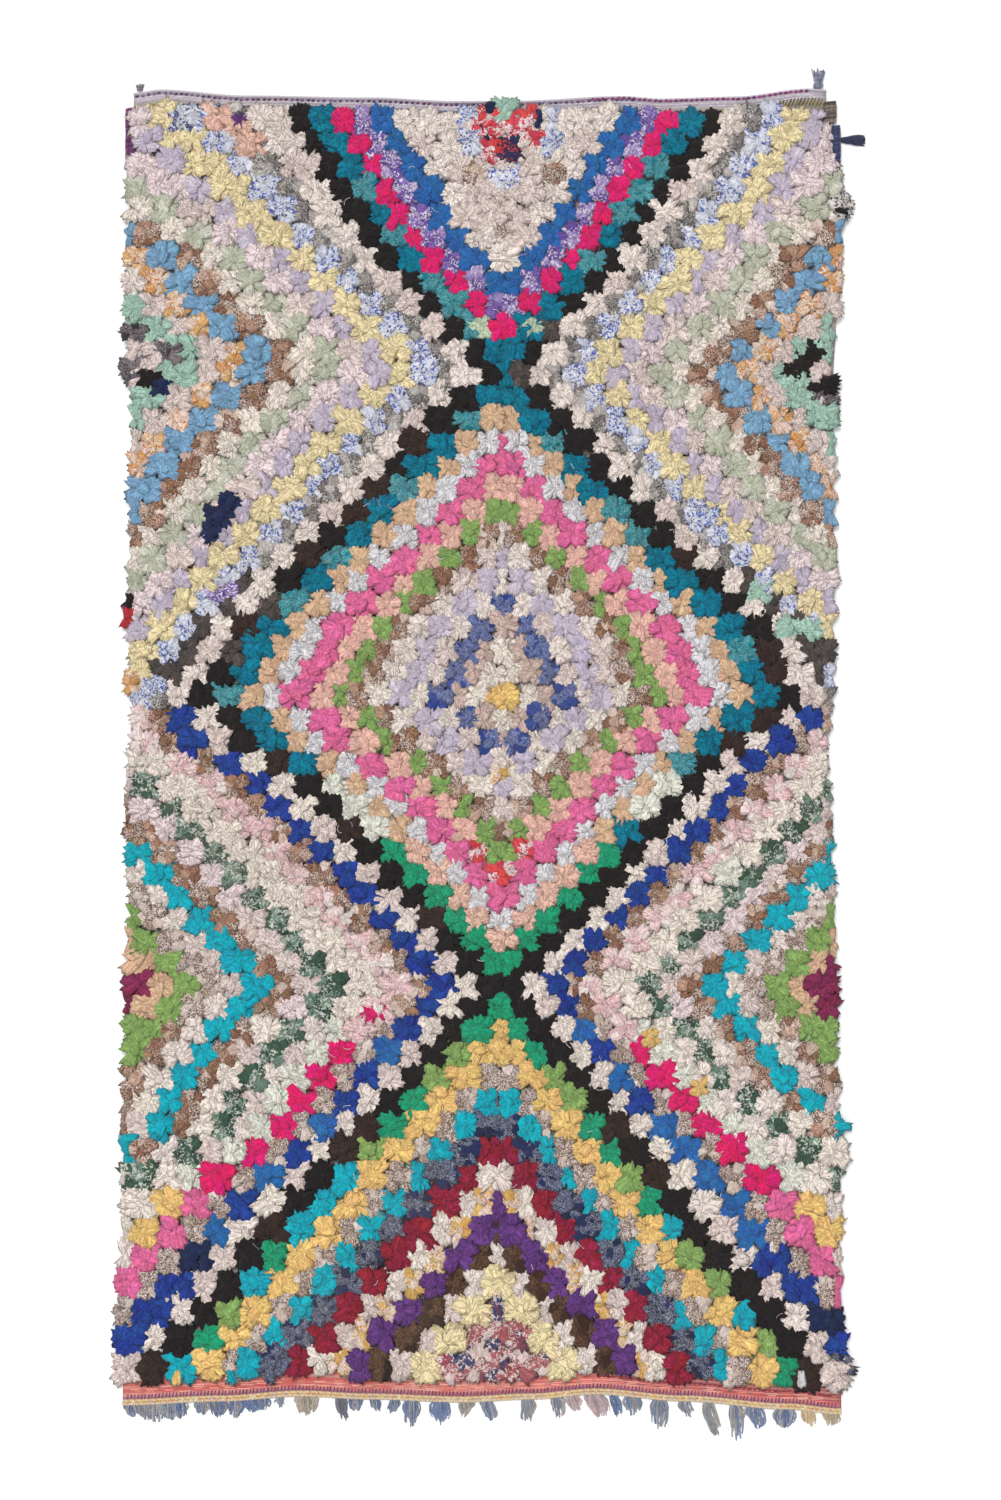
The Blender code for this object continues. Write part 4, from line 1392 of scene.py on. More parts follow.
    def lay_tuft(self, tuft: Tuft, lift: float, draw: random.Random) -> None:
        """Knot one tuft as lobes of rag that burst from near its middle, with caps on top.

        Args:
            tuft: Its place, half sizes and cloth.
            lift: How far it stands over the pile around it.
            draw: The row's random numbers.
        """
        corner = math.degrees(math.atan2(tuft.half_width, tuft.half_height))
        aims = [0.0, 180.0, corner, -corner, 180.0 - corner, corner - 180.0]
        if tuft.half_width > self.side_lobes_from:
            aims += [90.0, -90.0]
        base = self.root_height + lift + draw.uniform(-1.0, 1.6)
        twist = draw.gauss(0.0, 9.0)
        wide = math.sqrt(tuft.half_width * tuft.half_height)
        for aim in aims:
            turn = aim + twist + draw.gauss(0.0, self.turn_spread)
            side, down = math.sin(math.radians(turn)), math.cos(math.radians(turn))
            edge = min(tuft.half_width / max(abs(side), 0.05), tuft.half_height / max(abs(down), 0.05))
            rim = 1.0 / math.hypot(side / tuft.half_width, down / tuft.half_height)
            start = self.root_ring * rim * draw.uniform(0.5, 1.3)
            reach = self.edge_share * edge + self.rim_share * rim
            long = reach * draw.uniform(0.9, 1.12) - start + self.overlap
            self.lay_lobe(
                tuft, tuft.x + start * side, tuft.y - start * down,
                base + draw.uniform(-0.8, 0.8), turn, long, wide * draw.uniform(0.95, 1.25), draw,
            )
        for _ in range(2 if draw.random() < self.second_cap else 1):
            turn = draw.choice((0.0, 180.0)) + draw.gauss(0.0, 50.0)
            back = -self.cap_back * wide * draw.uniform(0.6, 1.2)
            self.lay_lobe(
                tuft, tuft.x + back * math.sin(math.radians(turn)),
                tuft.y - back * math.cos(math.radians(turn)), base + self.cap_lift, turn,
                wide * draw.uniform(0.85, 1.1), wide * draw.uniform(0.8, 1.1), draw,
            )

    def lay_lobe(self, tuft: Tuft, x: float, y: float, z: float, turn: float, long: float,
                 wide: float, draw: random.Random) -> None:
        """Knot one rag end of a tuft.

        Args:
            tuft: The tuft that it belongs to.
            x: Place of its root across the rug.
            y: Place of its root along the rug.
            z: Height of its root.
            turn: Which way it points, in degrees from -Y.
            long: How far it reaches from its root.
            wide: Its width.
            draw: The row's random numbers.
        """
        at_x = x + 0.6 * long * math.sin(math.radians(turn))
        at_y = y - 0.6 * long * math.cos(math.radians(turn))
        if tuft.lift == 0.0 and self.plan.covered(at_x, at_y):
            return
        size = (
            max(0.6, wide / TornRag.width),
            long / (TornRag.length - TornRag.back),
            draw.uniform(0.86, 1.08),
        )
        self.knot(tuft.cloth, x, y, z, turn, size, draw)

    def build(self) -> list[bpy.types.Object]:
        """Make the pile's pieces, one for each batch, and return them."""
        rags = self.rags()
        tree = knot_tree()
        pieces = []
        self.lay()
        laid = sorted(self.batches.items(), key=lambda item: item[0].value)
        for number, (batch, knots) in enumerate(laid):
            count = len(knots.places)
            cells = math.ceil(math.sqrt(count))
            grid = np.array([(i % cells, i // cells, 0.0) for i in range(count)])
            source = point_object(batch.value + "_knots", knots.places, [], {
                "turn": ("FLOAT_VECTOR", np.array(knots.turns)),
                "size": ("FLOAT_VECTOR", np.array(knots.sizes)),
                "cell": ("FLOAT_VECTOR", grid),
                "pick": ("INT", np.array(knots.picks)),
                "tuft": ("FLOAT", np.array(knots.tufts)),
                "rag_main": ("FLOAT_COLOR", np.array(knots.mains)),
                "rag_second": ("FLOAT_COLOR", np.array(knots.seconds)),
            })
            plant(source, tree, {
                "Rags": rags, "Crumple Pitch": self.crumple_pitch,
                "Crumple Depth": self.crumple_depth, "Cells Across": float(cells),
                "Cloth": self.finishes[batch].material(), "Seed": self.seed + number,
            })
            piece = harvest(source, batch.value)
            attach(piece, BODY)
            triangles = sum(len(p.vertices) - 2 for p in piece.data.polygons)
            LOG.info("%s: %d knots, %d triangles", piece.name, count, triangles)
            pieces.append(piece)
        for rag in list(rags.objects):
            bpy.data.objects.remove(rag)
        bpy.data.collections.remove(rags)
        return pieces


@dataclass
class GroundWeave:
    """The woven ground under the pile, with the flat band at each end, as one thin sheet."""

    plan: RugPlan
    thickness: float = 3.2
    column: float = 13.0
    band_line: float = 3.0
    top_lines: int = 12
    end_lines: int = 18
    pile_line: float = 30.0
    inset: float = 9.0
    rib: float = 0.5
    flat: tuple[float, float] = (1.41, 2.61)
    top_stripes: tuple[tuple[float, tuple[str, ...]], ...] = (
        (4.5, ("#C3BCC3", "#B4ADB8")), (9.0, ("#B5A6BA", "#A697B0")),
        (24.0, ("#CFC5D0", "#C2B8C6", "#D6CDD2", "#BDB4C4")),
        (40.0, ("#BFB79A", "#B3A98A", "#C9C2AE")),
    )
    end_stripes: tuple[tuple[float, tuple[str, ...]], ...] = (
        (12.0, ("#D6C2A4", "#CDB694")), (18.0, ("#A8607A", "#B9707C")),
        (60.0, ("#F08478", "#E9746A", "#F59A8C", "#DE675F", "#F0A294")),
    )

    def lines(self) -> list[tuple[str, float]]:
        """Return each cross line as its part of the sheet and its distance from the end, or share."""
        top = [i * self.band_line for i in range(self.top_lines)]
        end = [i * self.band_line for i in range(self.end_lines)]
        count = round((self.plan.pile_top - self.plan.pile_end) / self.pile_line)
        rows = [("top", d) for d in top]
        rows += [("pile", i / count) for i in range(1, count)]
        rows += [("end", d) for d in reversed(end)]
        return rows

    def place(self, kind: str, amount: float, share: float) -> Point:
        """Return one point of the sheet and its distance from the nearer end.

        Args:
            kind: Which part of the sheet the line is in.
            amount: Its distance from the end, or its share down the pile.
            share: How far across it lies, from 0 to 1.

        Returns:
            The point's x and y, and the distance from the nearer end.
        """
        plan = self.plan
        if kind == "top":
            left, right = plan.top_band
            x = left + (right - left) * share
            return x, between(plan.top_edge, x) - amount, amount
        if kind == "end":
            left, right = plan.end_band
            x = left + (right - left) * share
            return x, between(plan.end_edge, x) + amount, amount
        y = plan.pile_top + (plan.pile_end - plan.pile_top) * amount
        left = between(plan.side_outline, y, 1) + self.inset
        right = between(plan.side_outline, y, 2) - self.inset
        x = left + (right - left) * share
        return x, y + plan.bow(x, y), 100.0

    def stripe(self, kind: str, distance: float, share: float) -> str:
        """Return the colour of the weft at a distance from an end and a share across."""
        if kind == "pile":
            return "#D6C9C4" if abs(share - 0.5) > 0.47 else "#B9AEA4"
        table = self.top_stripes if kind == "top" else self.end_stripes
        shades = next((codes for limit, codes in table if distance < limit), table[-1][1])
        draw = random.Random(int(distance * 7.0) + 13 * int(share * 5.0 + 0.2 * math.sin(distance)))
        if kind == "end" and share > 0.68 and distance > 22.0 and int(distance) % 2:
            return "#A34A4E"
        return draw.choice(shades)

    def build(self) -> bpy.types.Object:
        rows = self.lines()
        across = round((self.plan.top_band[1] - self.plan.top_band[0]) / self.column)
        upper, lower, colours, places = [], [], [], []
        for index, (kind, amount) in enumerate(rows):
            for i in range(across + 1):
                x, y, distance = self.place(kind, amount, i / across)
                rib = self.rib * (1.0 if index % 2 else -1.0) if kind != "pile" else 0.0
                wave = 0.6 * math.sin(x / 61.0) + 0.4 * math.sin(x / 23.0 + 1.3)
                swell = 0.8 + rib + (0.4 * wave if kind != "pile" else 0.0)
                upper.append((x * MM, y * MM, (self.thickness + swell) * MM))
                lower.append((x * MM, y * MM, 0.2 * MM))
                colours.append(linear(self.stripe(kind, distance, i / across)))
                places.append((x / 10.0, distance / 10.0 if kind != "pile" else y / 10.0, 0.0))
        wide = across + 1
        count = len(rows) * wide
        faces = []
        for a in grid_cells(len(rows), wide):
            faces.append((a, a + wide, a + wide + 1, a + 1))
            faces.append((count + a, count + a + 1, count + a + wide + 1, count + a + wide))
        rim = grid_rim(len(rows), wide)
        for here, there in zip(rim, rim[1:] + rim[:1]):
            faces.append((here, there, count + there, count + here))
        mesh = bpy.data.meshes.new("ground_sheet")
        mesh.from_pydata(upper + lower, [], faces, shade_flat=False)
        carry(mesh, "rag_main", "FLOAT_COLOR", colours + colours)
        carry(mesh, "rag_place", "FLOAT_VECTOR", places + places)
        carry(mesh, "tuft", "FLOAT", [0.5] * (2 * count))
        uv = mesh.uv_layers.new(name="OFBake")
        for polygon in mesh.polygons:
            for loop, vertex in zip(polygon.loop_indices, polygon.vertices):
                x, y, _ = mesh.vertices[vertex].co
                shift = 0.5 if vertex >= count else 0.0
                uv.data[loop].uv = (0.25 + x / 3.2 + shift, 0.5 + y / 2.9)
        piece = placed("ground_sheet", mesh)
        mesh.materials.append(GroundFinish().material())
        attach(piece, BODY)
        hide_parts("rug_cloth")
        LOG.info("%s: %d faces", piece.name, len(faces))
        return piece


@dataclass
class Strand:
    """One length of yarn: its points in millimetres, its thickness and its colour."""

    points: list[Point]
    thick: float
    colour: str
    closed: bool = False


@dataclass
class YarnWork:
    """Lays many strands of yarn as one piece."""

    name: str
    finish: YarnFinish
    sides: int = 6
    flatness: float = 1.0
    seed: int = 3
    strands: list[Strand] = field(default_factory=list)

    def build(self, tree: bpy.types.NodeTree) -> bpy.types.Object:
        """Make the piece from its strands with the shared tree.

        Args:
            tree: The tree that lays yarn along lines.

        Returns:
            The finished piece, not yet riding on a body.
        """
        draw = random.Random(self.seed)
        places, edges, thick, mains, tufts, runs = [], [], [], [], [], []
        for strand in self.strands:
            first = len(places)
            tuft = draw.random()
            colour = linear(strand.colour)
            run = 0.0
            last = strand.points[0]
            for place in strand.points:
                run += math.dist(last, place)
                last = place
                places.append(tuple(c * MM for c in place))
                thick.append(strand.thick * MM)
                mains.append(colour)
                tufts.append(tuft)
                runs.append((0.0, run / 10.0, tuft))
            edges += [(i, i + 1) for i in range(first, len(places) - 1)]
            if strand.closed:
                edges.append((len(places) - 1, first))
        source = point_object(self.name + "_lines", places, edges, {
            "thick": ("FLOAT", np.array(thick)),
            "tuft": ("FLOAT", np.array(tufts)),
            "rag_main": ("FLOAT_COLOR", np.array(mains)),
            "rag_place": ("FLOAT_VECTOR", np.array(runs)),
        })
        plant(source, tree, {
            "Sides": self.sides, "Flatness": self.flatness, "Yarn": self.finish.material(),
        })
        piece = harvest(source, self.name)
        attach(piece, BODY)
        LOG.info("%s: %d strands, %d faces", self.name, len(self.strands), len(piece.data.polygons))
        return piece


def twisted(path: Sequence[Point], plies: int, lay: float, radius: float,
            thick: float, colours: Sequence[str], step: float = 2.5) -> list[Strand]:
    """Twist plies round a path that runs across the rug.

    Args:
        path: Points in order of x, in millimetres.
        plies: How many plies are twisted together.
        lay: The length of one full turn.
        radius: How far each ply's middle stands off the path.
        thick: Half the thickness of a ply.
        colours: One colour for each ply, used in turn.
        step: Distance between points along the path.

    Returns:
        One strand for each ply.
    """
    table = sorted(path)
    count = int((table[-1][0] - table[0][0]) / step)
    strands = []
    for ply in range(plies):
        points = []
        for i in range(count + 1):
            x = table[0][0] + (table[-1][0] - table[0][0]) * i / count
            angle = math.tau * (x / lay + ply / plies)
            y = between([(p[0], p[1]) for p in table], x)
            z = between([(p[0], p[2]) for p in table], x)
            points.append((x, y + radius * math.cos(angle), z + radius * math.sin(angle)))
        strands.append(Strand(points, thick, colours[ply % len(colours)]))
    return strands


@dataclass(frozen=True)
class Stitches:
    """One row of short stitches along an end, in millimetres, with the colours it draws from."""

    offset: float
    height: float
    start: float
    stop: float
    pitch: float
    length: float
    thick: float
    slant: float
    colours: tuple[str, ...]


PALE_WEFT = ("#D8D0D8", "#CBC3D0")
SALMON_WEFT = ("#F7A898", "#EE8A7C", "#F2B4A4", "#D8605A")


@dataclass
class EndCords:
    """The twined rims, the stitch lines over both end bands and the rows of dashes."""

    plan: RugPlan
    lay: float = 9.0
    seed: int = 21
    top_rows: tuple[Stitches, ...] = (
        Stitches(-7.6, 4.6, -704, 300, 11.0, 5.4, 2.4, 0.6,
                 ("#5E3C5E", "#6E4A6C", "#4F3A5A", "#7A6486")),
        Stitches(-4.6, 5.0, 206, 646, 10.4, 5.6, 2.6, 1.4, ("#8A3A70", "#73346C", "#9A4A80")),
        Stitches(-22.0, 4.8, -530, 200, 9.6, 5.4, 2.0, 0.5, ("#6A7596", "#59638A", "#8088A4")),
        Stitches(-12.6, 4.0, -700, 660, 8.2, 6.6, 1.5, 0.3, PALE_WEFT),
        Stitches(-17.8, 4.0, -696, 664, 8.2, 6.6, 1.5, 0.3, PALE_WEFT),
        Stitches(-29.0, 4.4, -690, 670, 9.0, 7.2, 1.6, 1.0, ("#A89A6E", "#968C62", "#BDB08A")),
        Stitches(-26.0, 5.6, 580, 674, 7.0, 7.0, 1.7, 15.0, ("#6A5F4A", "#7A6E56", "#5A5142")),
    )
    end_rows: tuple[Stitches, ...] = (
        Stitches(5.6, 6.6, -722, 702, 9.0, 8.0, 1.5, 7.0,
                 ("#D9A65A", "#E2BC6A", "#D88A62", "#C9B08C", "#E8D8B8", "#B9A6A0")),
        Stitches(17.4, 4.8, -722, 702, 7.0, 2.0, 1.5, 8.6,
                 ("#6B3F6A", "#7E4466", "#8C4A62", "#75507C")),
        Stitches(23.0, 3.9, -716, 696, 31.0, 27.0, 1.1, 0.3, SALMON_WEFT),
        Stitches(27.0, 3.9, -716, 696, 31.0, 27.0, 1.1, 0.3, SALMON_WEFT),
        Stitches(31.0, 3.9, -716, 696, 31.0, 27.0, 1.1, 0.3, SALMON_WEFT),
        Stitches(35.0, 3.9, -716, 696, 31.0, 27.0, 1.1, 0.3, SALMON_WEFT),
        Stitches(36.0, 4.6, 220, 696, 10.0, 8.4, 1.6, 0.4, ("#8C3440", "#7A2C3A", "#94404A")),
    )

    def edge_path(self, table: Table, offset: float, height: float
                  ) -> list[Point]:
        """Return an end's line, moved along Y and lifted."""
        return [(x, between(table, x) + offset, height) for x in sorted(row[0] for row in table)]

    def dashes(self, table: Table, row: Stitches, draw: random.Random) -> list[Strand]:
        """Make a row of short slanting stitches that dip into the cloth at both ends.

        Args:
            table: The end's line.
            row: The row's place, sizes and colours.
            draw: The end's random numbers.

        Returns:
            One strand for each stitch.
        """
        strands = []
        for i in range(int((row.stop - row.start) / row.pitch)):
            x = row.start + (i + 0.5) * row.pitch + draw.uniform(-0.12, 0.12) * row.pitch
            y = between(table, x) + row.offset + draw.uniform(-0.5, 0.5)
            points = []
            for step in range(4):
                t = step / 3.0
                arch = math.sin(math.pi * (0.08 + 0.84 * t))
                points.append((
                    x + row.length * (t - 0.5), y + row.slant * (t - 0.5),
                    row.height - 2.0 + 2.6 * arch,
                ))
            strands.append(Strand(points, row.thick, draw.choice(row.colours)))
        return strands

    def build(self, tree: bpy.types.NodeTree) -> list[bpy.types.Object]:
        """Make the cords and stitches of both ends."""
        draw = random.Random(self.seed)
        top, end = self.plan.top_edge, self.plan.end_edge
        rim = YarnWork("top_rim", YarnFinish("rim_yarn", twist=2.2, groove_shade=0.2), sides=5, seed=31)
        greys = ("#CBC5CA", "#B3ACBA")
        rim.strands += twisted(self.edge_path(top, -2.2, 3.5), 2, self.lay, 1.3, 1.9, greys, 3.2)
        for row in self.top_rows:
            rim.strands += self.dashes(top, row, draw)
        edge = YarnWork("end_rim", YarnFinish("edge_yarn", twist=2.2, groove_shade=0.25), sides=5, seed=32)
        beiges = ("#D9C6A6", "#CBB79A")
        edge.strands += twisted(self.edge_path(end, 3.2, 4.6), 2, 11.0, 1.9, 2.4, beiges, 3.2)
        flaxes = ("#E0CDA8", "#CFA66E", "#D8C4A4")
        edge.strands += twisted(self.edge_path(end, 9.2, 3.9), 3, 14.0, 1.7, 1.9, flaxes, 3.2)
        for row in self.end_rows:
            edge.strands += self.dashes(end, row, draw)
        pieces = []
        for work, slot in ((rim, "grey_yarn"), (edge, "yarn_fringe")):
            piece = work.build(tree)
            pieces.append(piece)
        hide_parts("fringe_edge")
        return pieces


@dataclass
class Tassels:
    """The tassels of warp and yarn along the lower end."""

    plan: RugPlan
    seed: int = 41
    yarn: float = 1.5
    spacing: float = 2.1
    fewest: int = 12
    layers: int = 3
    steps: int = 5
    root_share: float = 0.55
    tip_share: float = 0.62
    tip_wander: float = 4.5
    bulge: float = 0.42
    bend: float = 2.6
    curl: float = 4.2
    side_loss: float = 0.3
    rows: Table = (
        (-728, -698, 26), (-704, -672, 34), (-680, -646, 38), (-656, -622, 36), (-632, -600, 34),
        (-588, -556, 30), (-562, -522, 34), (-520, -484, 37), (-490, -458, 29), (-462, -434, 26),
        (-424, -408, 24), (-386, -340, 44), (-308, -284, 46), (-280, -252, 28), (-236, -216, 28),
        (-198, -176, 30), (-168, -132, 54), (-114, -72, 48), (-62, -30, 34), (-14, 14, 42),
        (62, 94, 48), (124, 152, 44), (156, 184, 34), (190, 236, 50), (239, 262, 46),
        (272, 308, 40), (326, 364, 62), (384, 408, 34), (428, 458, 68), (480, 511, 72),
        (515, 558, 44), (570, 618, 44), (624, 654, 34), (670, 706, 26),
    )

    def shades(self, x: float) -> tuple[str, ...]:
        """Return the yarn colours of the tassels at a place across."""
        if x < -600:
            return ("#74849F", "#98989F", "#62769E", "#A6A2A0")
        if -400 < x < -330:
            return ("#B9AE9E", "#A89C8E")
        if -315 < x < -280:
            return ("#6A6C78", "#7E808A")
        if 150 < x < 240:
            return ("#C2A4A6", "#A8A4AC", "#C9ACA8")
        if x > 660:
            return ("#B4A58C", "#A2957E")
        if x > 620:
            return ("#D2BC98", "#C2AA84")
        return ("#7484A6", "#8E949F", "#A89E92", "#64769C", "#A4A2A2")

    def build(self, tree: bpy.types.NodeTree) -> bpy.types.Object:
        """Make every tassel as a wavy spread of soft yarns that leave the edge together."""
        draw = random.Random(self.seed)
        finish = YarnFinish("tassel_yarn", spread=0.42, twist=3.1, groove_shade=0.34)
        work = YarnWork("edge_tassels", finish, sides=4, seed=42)
        for start, stop, length in self.rows:
            middle = (start + stop) / 2.0
            half = (stop - start) / 2.0
            count = max(self.fewest, int((stop - start) * 2.0 / self.spacing))
            lean = draw.uniform(-0.05, 0.3)
            wave = draw.uniform(-3.0, 3.0)
            shades = self.shades(middle)
            colours = [draw.choice(shades), draw.choice(shades), draw.choice(shades)]
            for i in range(count):
                share = 2.0 * (i + 0.5) / count - 1.0
                layer = i % self.layers
                root_x = middle + share * half * self.root_share
                tip_x = middle + share * half * self.tip_share + lean * length
                tip_x += draw.uniform(-self.tip_wander, self.tip_wander)
                root_y = between(self.plan.end_edge, root_x) + 2.5
                long = length * draw.uniform(0.56, 1.04) * (1.0 - self.side_loss * share * share)
                bend = wave + draw.uniform(-self.bend, self.bend)
                points = []
                for step in range(self.steps + 1):
                    t = step / self.steps
                    x = root_x + (tip_x - root_x) * t ** 1.3 + bend * math.sin(self.curl * t)
                    x += self.bulge * share * half * math.sin(math.pi * t)
                    arch = layer * 1.5 * math.sin(math.pi * min(1.0, 0.2 + t)) * (1.0 - share ** 2)
                    points.append((x, root_y - long * t, 1.9 + arch + draw.uniform(0.0, 0.6)))
                thick = self.yarn * draw.uniform(0.6, 1.05)
                work.strands.append(Strand(points, thick, draw.choice(colours)))
        piece = work.build(tree)
        return piece


@dataclass(frozen=True)
class Binding:
    """One stretch of yarn wrapped round a side of the rug."""

    node: str
    slot: str
    colours: tuple[str, ...]
    thick: float
    lobes: int = 1
    slant: float = 3.0
    steps: int = 14

    def build(self, tree: bpy.types.NodeTree) -> bpy.types.Object:
        """Wind the yarn inside the box of the CAD wrap that it stands for."""
        low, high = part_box(self.node)
        draw = random.Random(len(self.node))
        left, right, bottom, top, height = in_millimetres(low, high)
        finish = YarnFinish(self.node + "_yarn")
        work = YarnWork(self.node.replace("wrap", "binding"), finish, seed=51)
        turns = max(4, int((top - bottom - 2.0 * self.thick) / (1.75 * self.thick)))
        middle_x, middle_z = (left + right) / 2.0, height / 2.0
        for turn in range(turns):
            share = (turn + 0.5) / turns
            y = bottom + self.thick + (top - bottom - 2.0 * self.thick) * share
            full = 0.84 + 0.16 * abs(math.sin(math.pi * share * self.lobes)) ** 0.5
            full *= draw.uniform(0.93, 1.0)
            wide = ((right - left) / 2.0 - self.thick) * full
            tall = (height / 2.0 - self.thick) * full
            points = []
            for step in range(self.steps):
                angle = math.tau * step / self.steps
                cos, sin = math.cos(angle), math.sin(angle)
                points.append((
                    middle_x + wide * math.copysign(abs(cos) ** 0.7, cos),
                    y + self.slant * 0.5 * cos + draw.uniform(-0.4, 0.4),
                    max(1.12 * self.thick, middle_z + tall * math.copysign(abs(sin) ** 0.8, sin)),
                ))
            thick = self.thick * draw.uniform(0.9, 1.08)
            work.strands.append(Strand(points, thick, draw.choice(self.colours), True))
        piece = work.build(tree)
        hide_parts(self.node)
        return piece


@dataclass
class CornerTufts:
    """The knotted tassel and the small tuft at the top corners."""

    seed: int = 61
    yarn: float = 1.5

    def tuft(self, node: str, slot: str, shades: Sequence[str], strands: int, head: float,
             tree: bpy.types.NodeTree) -> bpy.types.Object:
        """Make one tuft inside the box of its CAD node.

        Args:
            node: The CAD node that it stands for.
            slot: The record's slot of its yarn; not used.
            shades: Colours that its yarns draw from.
            strands: How many yarns it has.
            head: Depth of its knotted head.
            tree: The tree that lays yarn.

        Returns:
            The finished tuft.
        """
        low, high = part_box(node)
        draw = random.Random(self.seed + strands)
        left, right, bottom, top, height = in_millimetres(low, high)
        middle, half = (left + right) / 2.0, (right - left) / 2.0 - self.yarn
        work = YarnWork(node + "_yarn", YarnFinish(node + "_finish"), seed=62)
        for i in range(strands):
            share = 2.0 * (i + 0.5) / strands - 1.0
            long = (top - bottom - self.yarn) * draw.uniform(0.75, 1.0)
            bend = draw.uniform(-1.5, 1.5)
            lift = draw.uniform(0.0, 1.0)
            points = []
            room = (height - 2.3 * self.yarn) * (0.3 + 0.7 * lift)
            for step in range(8):
                t = step / 7.0
                points.append((
                    middle + share * half * (0.35 + 0.6 * t) + bend * math.sin(4.0 * t),
                    bottom + self.yarn + (long - self.yarn) * t,
                    1.2 * self.yarn + room * math.sin(math.pi * (0.2 + 0.75 * t)),
                ))
            thick = self.yarn * draw.uniform(0.85, 1.1)
            work.strands.append(Strand(points, thick, draw.choice(list(shades))))
        for turn in range(max(1, int(head / 3.0))):
            y = bottom + 4.0 + turn * 2.7
            points = []
            for step in range(12):
                angle = math.tau * step / 12.0
                rise = (height * 0.5 - self.yarn) * math.sin(angle) * 0.9
                points.append((
                    middle + half * 0.62 * math.cos(angle), y + 0.8 * math.cos(angle),
                    max(1.2 * self.yarn, height * 0.45 + rise),
                ))
            work.strands.append(Strand(points, self.yarn, shades[0], True))
        piece = work.build(tree)
        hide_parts(node)
        return piece

    def build(self, tree: bpy.types.NodeTree) -> list[bpy.types.Object]:
        """Make both corner tufts."""
        return [
            self.tuft("corner_tassel", "grey_yarn", ("#7C7F94", "#9A97A6", "#5E6078"), 13, 10.0, tree),
            self.tuft("corner_tuft", "grey_yarn", ("#6E6A74", "#8A8C88", "#7C7090"), 12, 3.0, tree),
        ]


@dataclass
class RagTail:
    """The navy end of rag that sticks out of the right-hand binding."""

    seed: int = 71

    def build(self) -> bpy.types.Object:
        """Make the crumpled tail in the box of its CAD node."""
        low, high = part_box("rag_tail")
        length = (high.x - low.x) / MM + 4.0
        width = (high.y - low.y) / MM
        rag = TornRag(
            length=length, width=width, stations=(0.0, 0.12, 0.26, 0.42, 0.58, 0.74, 0.88, 1.0),
            across=9, back=0.0, side_drop=3.0, pleat=1.1, sway=3.0, ragged=5.0,
            rise=((0.0, 5.6), (0.3, 7.4), (0.7, 6.6), (1.0, 4.2)),
            spread=((0.0, 0.42), (0.4, 0.7), (0.8, 1.0), (1.0, 0.9)),
        )
        piece = rag.build("navy_tail", random.Random(self.seed))
        bpy.context.scene.collection.objects.link(piece)
        turn = Euler((0.0, 0.0, math.radians(90.0))).to_matrix().to_4x4()
        turn.translation = Vector((low.x - 3.0 * MM, (low.y + high.y) / 2.0, 0.4 * MM))
        piece.data.transform(turn)
        count = len(piece.data.vertices)
        for label, code in (("rag_main", C.NAVY.value.main), ("rag_second", C.NAVY.value.second)):
            carry(piece.data, label, "FLOAT_COLOR", [linear(code)] * count)
        carry(piece.data, "tuft", "FLOAT", [0.4] * count)
        piece.data.materials.append(RagFinish("tail_rag", spread=0.1, hollow_shade=0.4).material())
        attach(piece, BODY)
        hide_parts("rag_tail")
        LOG.info("%s: %d faces", piece.name, len(piece.data.polygons))
        return piece


@dataclass
class LooseThreads:
    """Fine threads that have worked out of the rags and lie on the pile."""

    plan: RugPlan
    count: int = 110
    thick: float = 0.45
    seed: int = 81

    def build(self, tree: bpy.types.NodeTree) -> bpy.types.Object:
        """Scatter the threads over the pile."""
        draw = random.Random(self.seed)
        work = YarnWork("loose_threads", YarnFinish("thread"), sides=4, seed=82)
        for _ in range(self.count):
            y = draw.uniform(self.plan.pile_end + 30.0, self.plan.pile_top - 30.0)
            x = draw.uniform(-690.0, 660.0)
            heading = draw.uniform(0.0, math.tau)
            curl = draw.uniform(-0.5, 0.5)
            points = []
            for step in range(7):
                points.append((x, y, 24.0 + 2.5 * math.sin(0.9 * step) - 0.4 * step))
                heading += curl
                pace = draw.uniform(2.0, 4.5)
                x += pace * math.cos(heading)
                y += pace * math.sin(heading)
            colour = draw.choice(("#F2EEE8", "#E8E2DC", "#DDE2E8", "#C9A9B8", "#9AA4C0"))
            work.strands.append(Strand(points, self.thick, colour))
        piece = work.build(tree)
        return piece


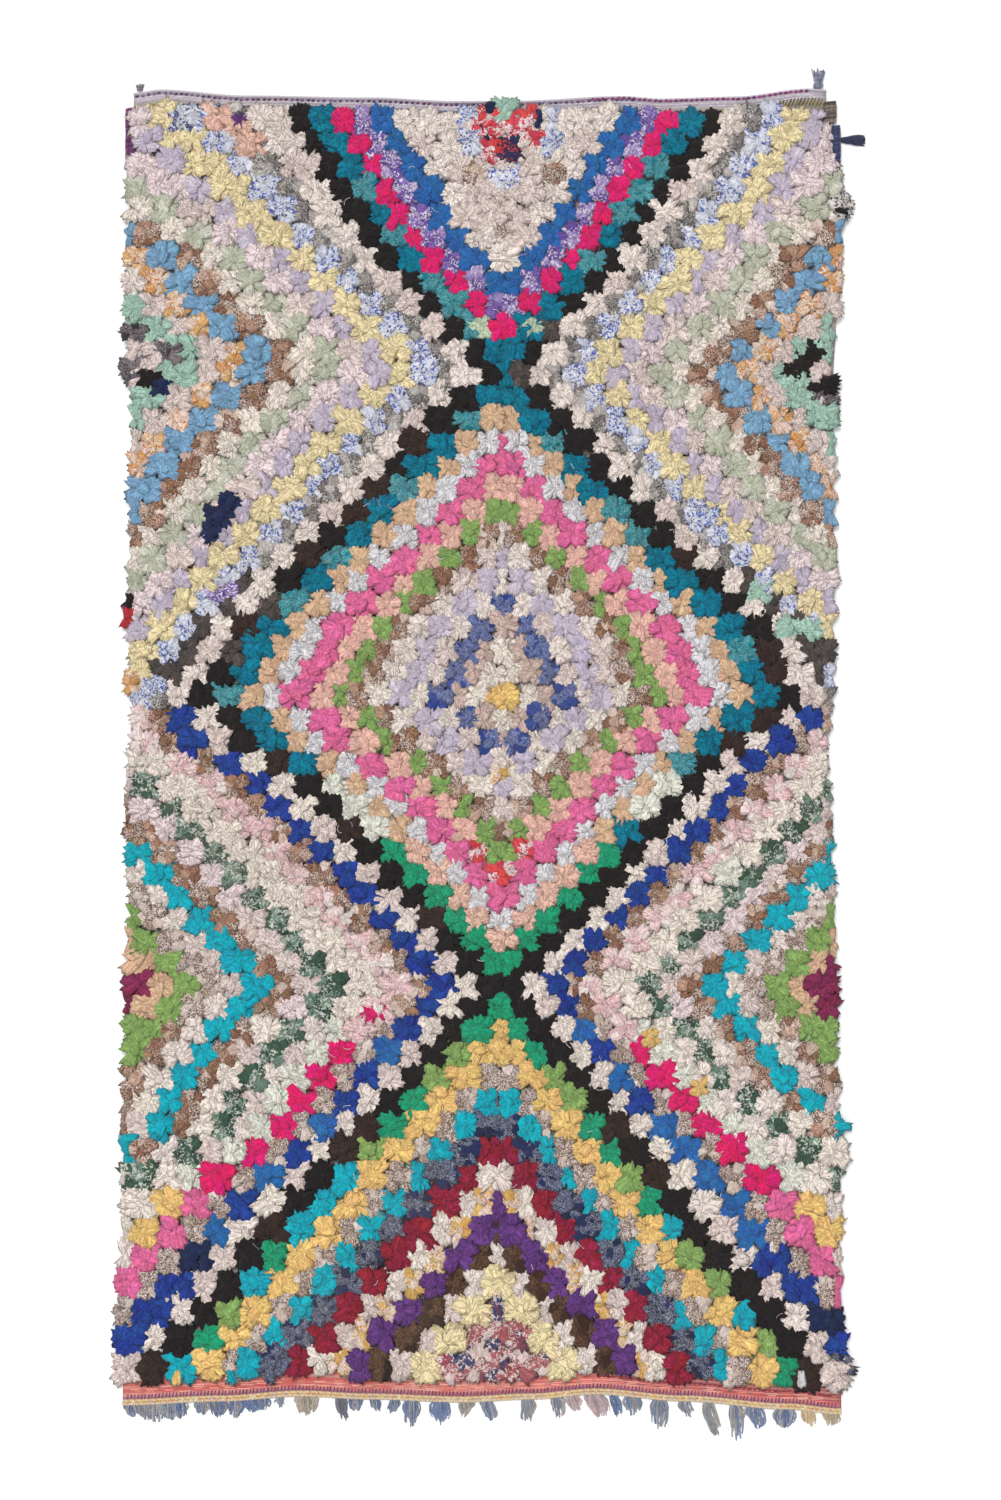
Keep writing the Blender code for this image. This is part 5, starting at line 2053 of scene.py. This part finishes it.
@dataclass
class Studio:
    """The pale floor, the soft light and the camera straight above the rug."""

    view_height: float = 3.0
    distance: float = 6.0
    sensor: float = 36.0
    aim: tuple[float, float] = (0.027, 0.009)
    sky_strength: float = 0.5
    key_strength: float = 2.1
    fill_strength: float = 0.7
    floor_half: float = 12.0
    floor_level: float = -0.0004

    def sun(self, name: str, strength: float, tilt: float, turn: float, spread: float) -> None:
        """Add one soft light from far away."""
        lamp = bpy.data.lights.new(name, "SUN")
        lamp.energy = strength
        lamp.angle = math.radians(spread)
        piece = placed(name, lamp)
        piece.rotation_euler = (math.radians(tilt), 0.0, math.radians(turn))

    def build(self) -> None:
        """Set up the floor, the lights and the camera."""
        scene = bpy.context.scene
        scene.view_settings.view_transform = "Standard"
        world = bpy.data.worlds.new("soft_sky")
        world.use_nodes = True
        world.node_tree.nodes["Background"].inputs["Color"].default_value = WHITE
        world.node_tree.nodes["Background"].inputs["Strength"].default_value = self.sky_strength
        scene.world = world
        self.sun("key_light", self.key_strength, -24.0, 24.0, 22.0)
        self.sun("fill_light", self.fill_strength, 28.0, -30.0, 50.0)
        mesh = bpy.data.meshes.new("floor")
        corners = [(-1.0, -1.0), (1.0, -1.0), (1.0, 1.0), (-1.0, 1.0)]
        mesh.from_pydata(
            [(x * self.floor_half, y * self.floor_half, self.floor_level) for x, y in corners],
            [], [(0, 1, 2, 3)],
        )
        floor = placed("floor", mesh)
        bench, shader = start_material("pale_floor", 0.9, 0.0)
        shader.inputs["Base Color"].default_value = linear(PALE_FLOOR)
        mesh.materials.append(bench_material(bench))
        camera = placed("camera", bpy.data.cameras.new("camera"))
        camera.data.sensor_width = self.sensor
        camera.data.lens = self.sensor * self.distance / self.view_height
        camera.location = (self.aim[0], self.aim[1], self.distance)
        scene.camera = camera


BINDINGS: tuple[Binding, ...] = (
    Binding("wrap_purple", "purple_yarn", ("#6E3A68", "#5C2F5E", "#7C4474", "#4E2F5C"), 2.4, 2),
    Binding("wrap_taupe", "taupe_yarn", ("#6B5F58", "#7A6D64", "#574D48", "#8A7C70"), 2.2),
    Binding("wrap_navy", "navy_rag", ("#2E3A66", "#3A4878", "#252F54"), 2.4),
    Binding("wrap_grey", "grey_yarn", ("#8E9096", "#A3A2A4", "#767A80"), 2.1),
)


def main() -> None:
    logging.basicConfig(level=logging.INFO, format="%(message)s")
    Studio().build()
    for recipe in (make_tuft_tint, make_rag_folds, make_rag_marl, make_rag_fleck, make_cloth_grain):
        recipe()
    plan = RugPlan()
    yarn = yarn_tree()
    ground = GroundWeave(plan)
    sheet = ground.build()
    on_it = RagPile(plan).build()
    on_it += EndCords(plan).build(yarn)
    on_it.append(Tassels(plan).build(yarn))
    on_it += [binding.build(yarn) for binding in BINDINGS]
    on_it += CornerTufts().build(yarn)
    on_it.append(RagTail().build())
    on_it.append(LooseThreads(plan).build(yarn))
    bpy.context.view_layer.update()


if __name__ == "__main__":
    main()
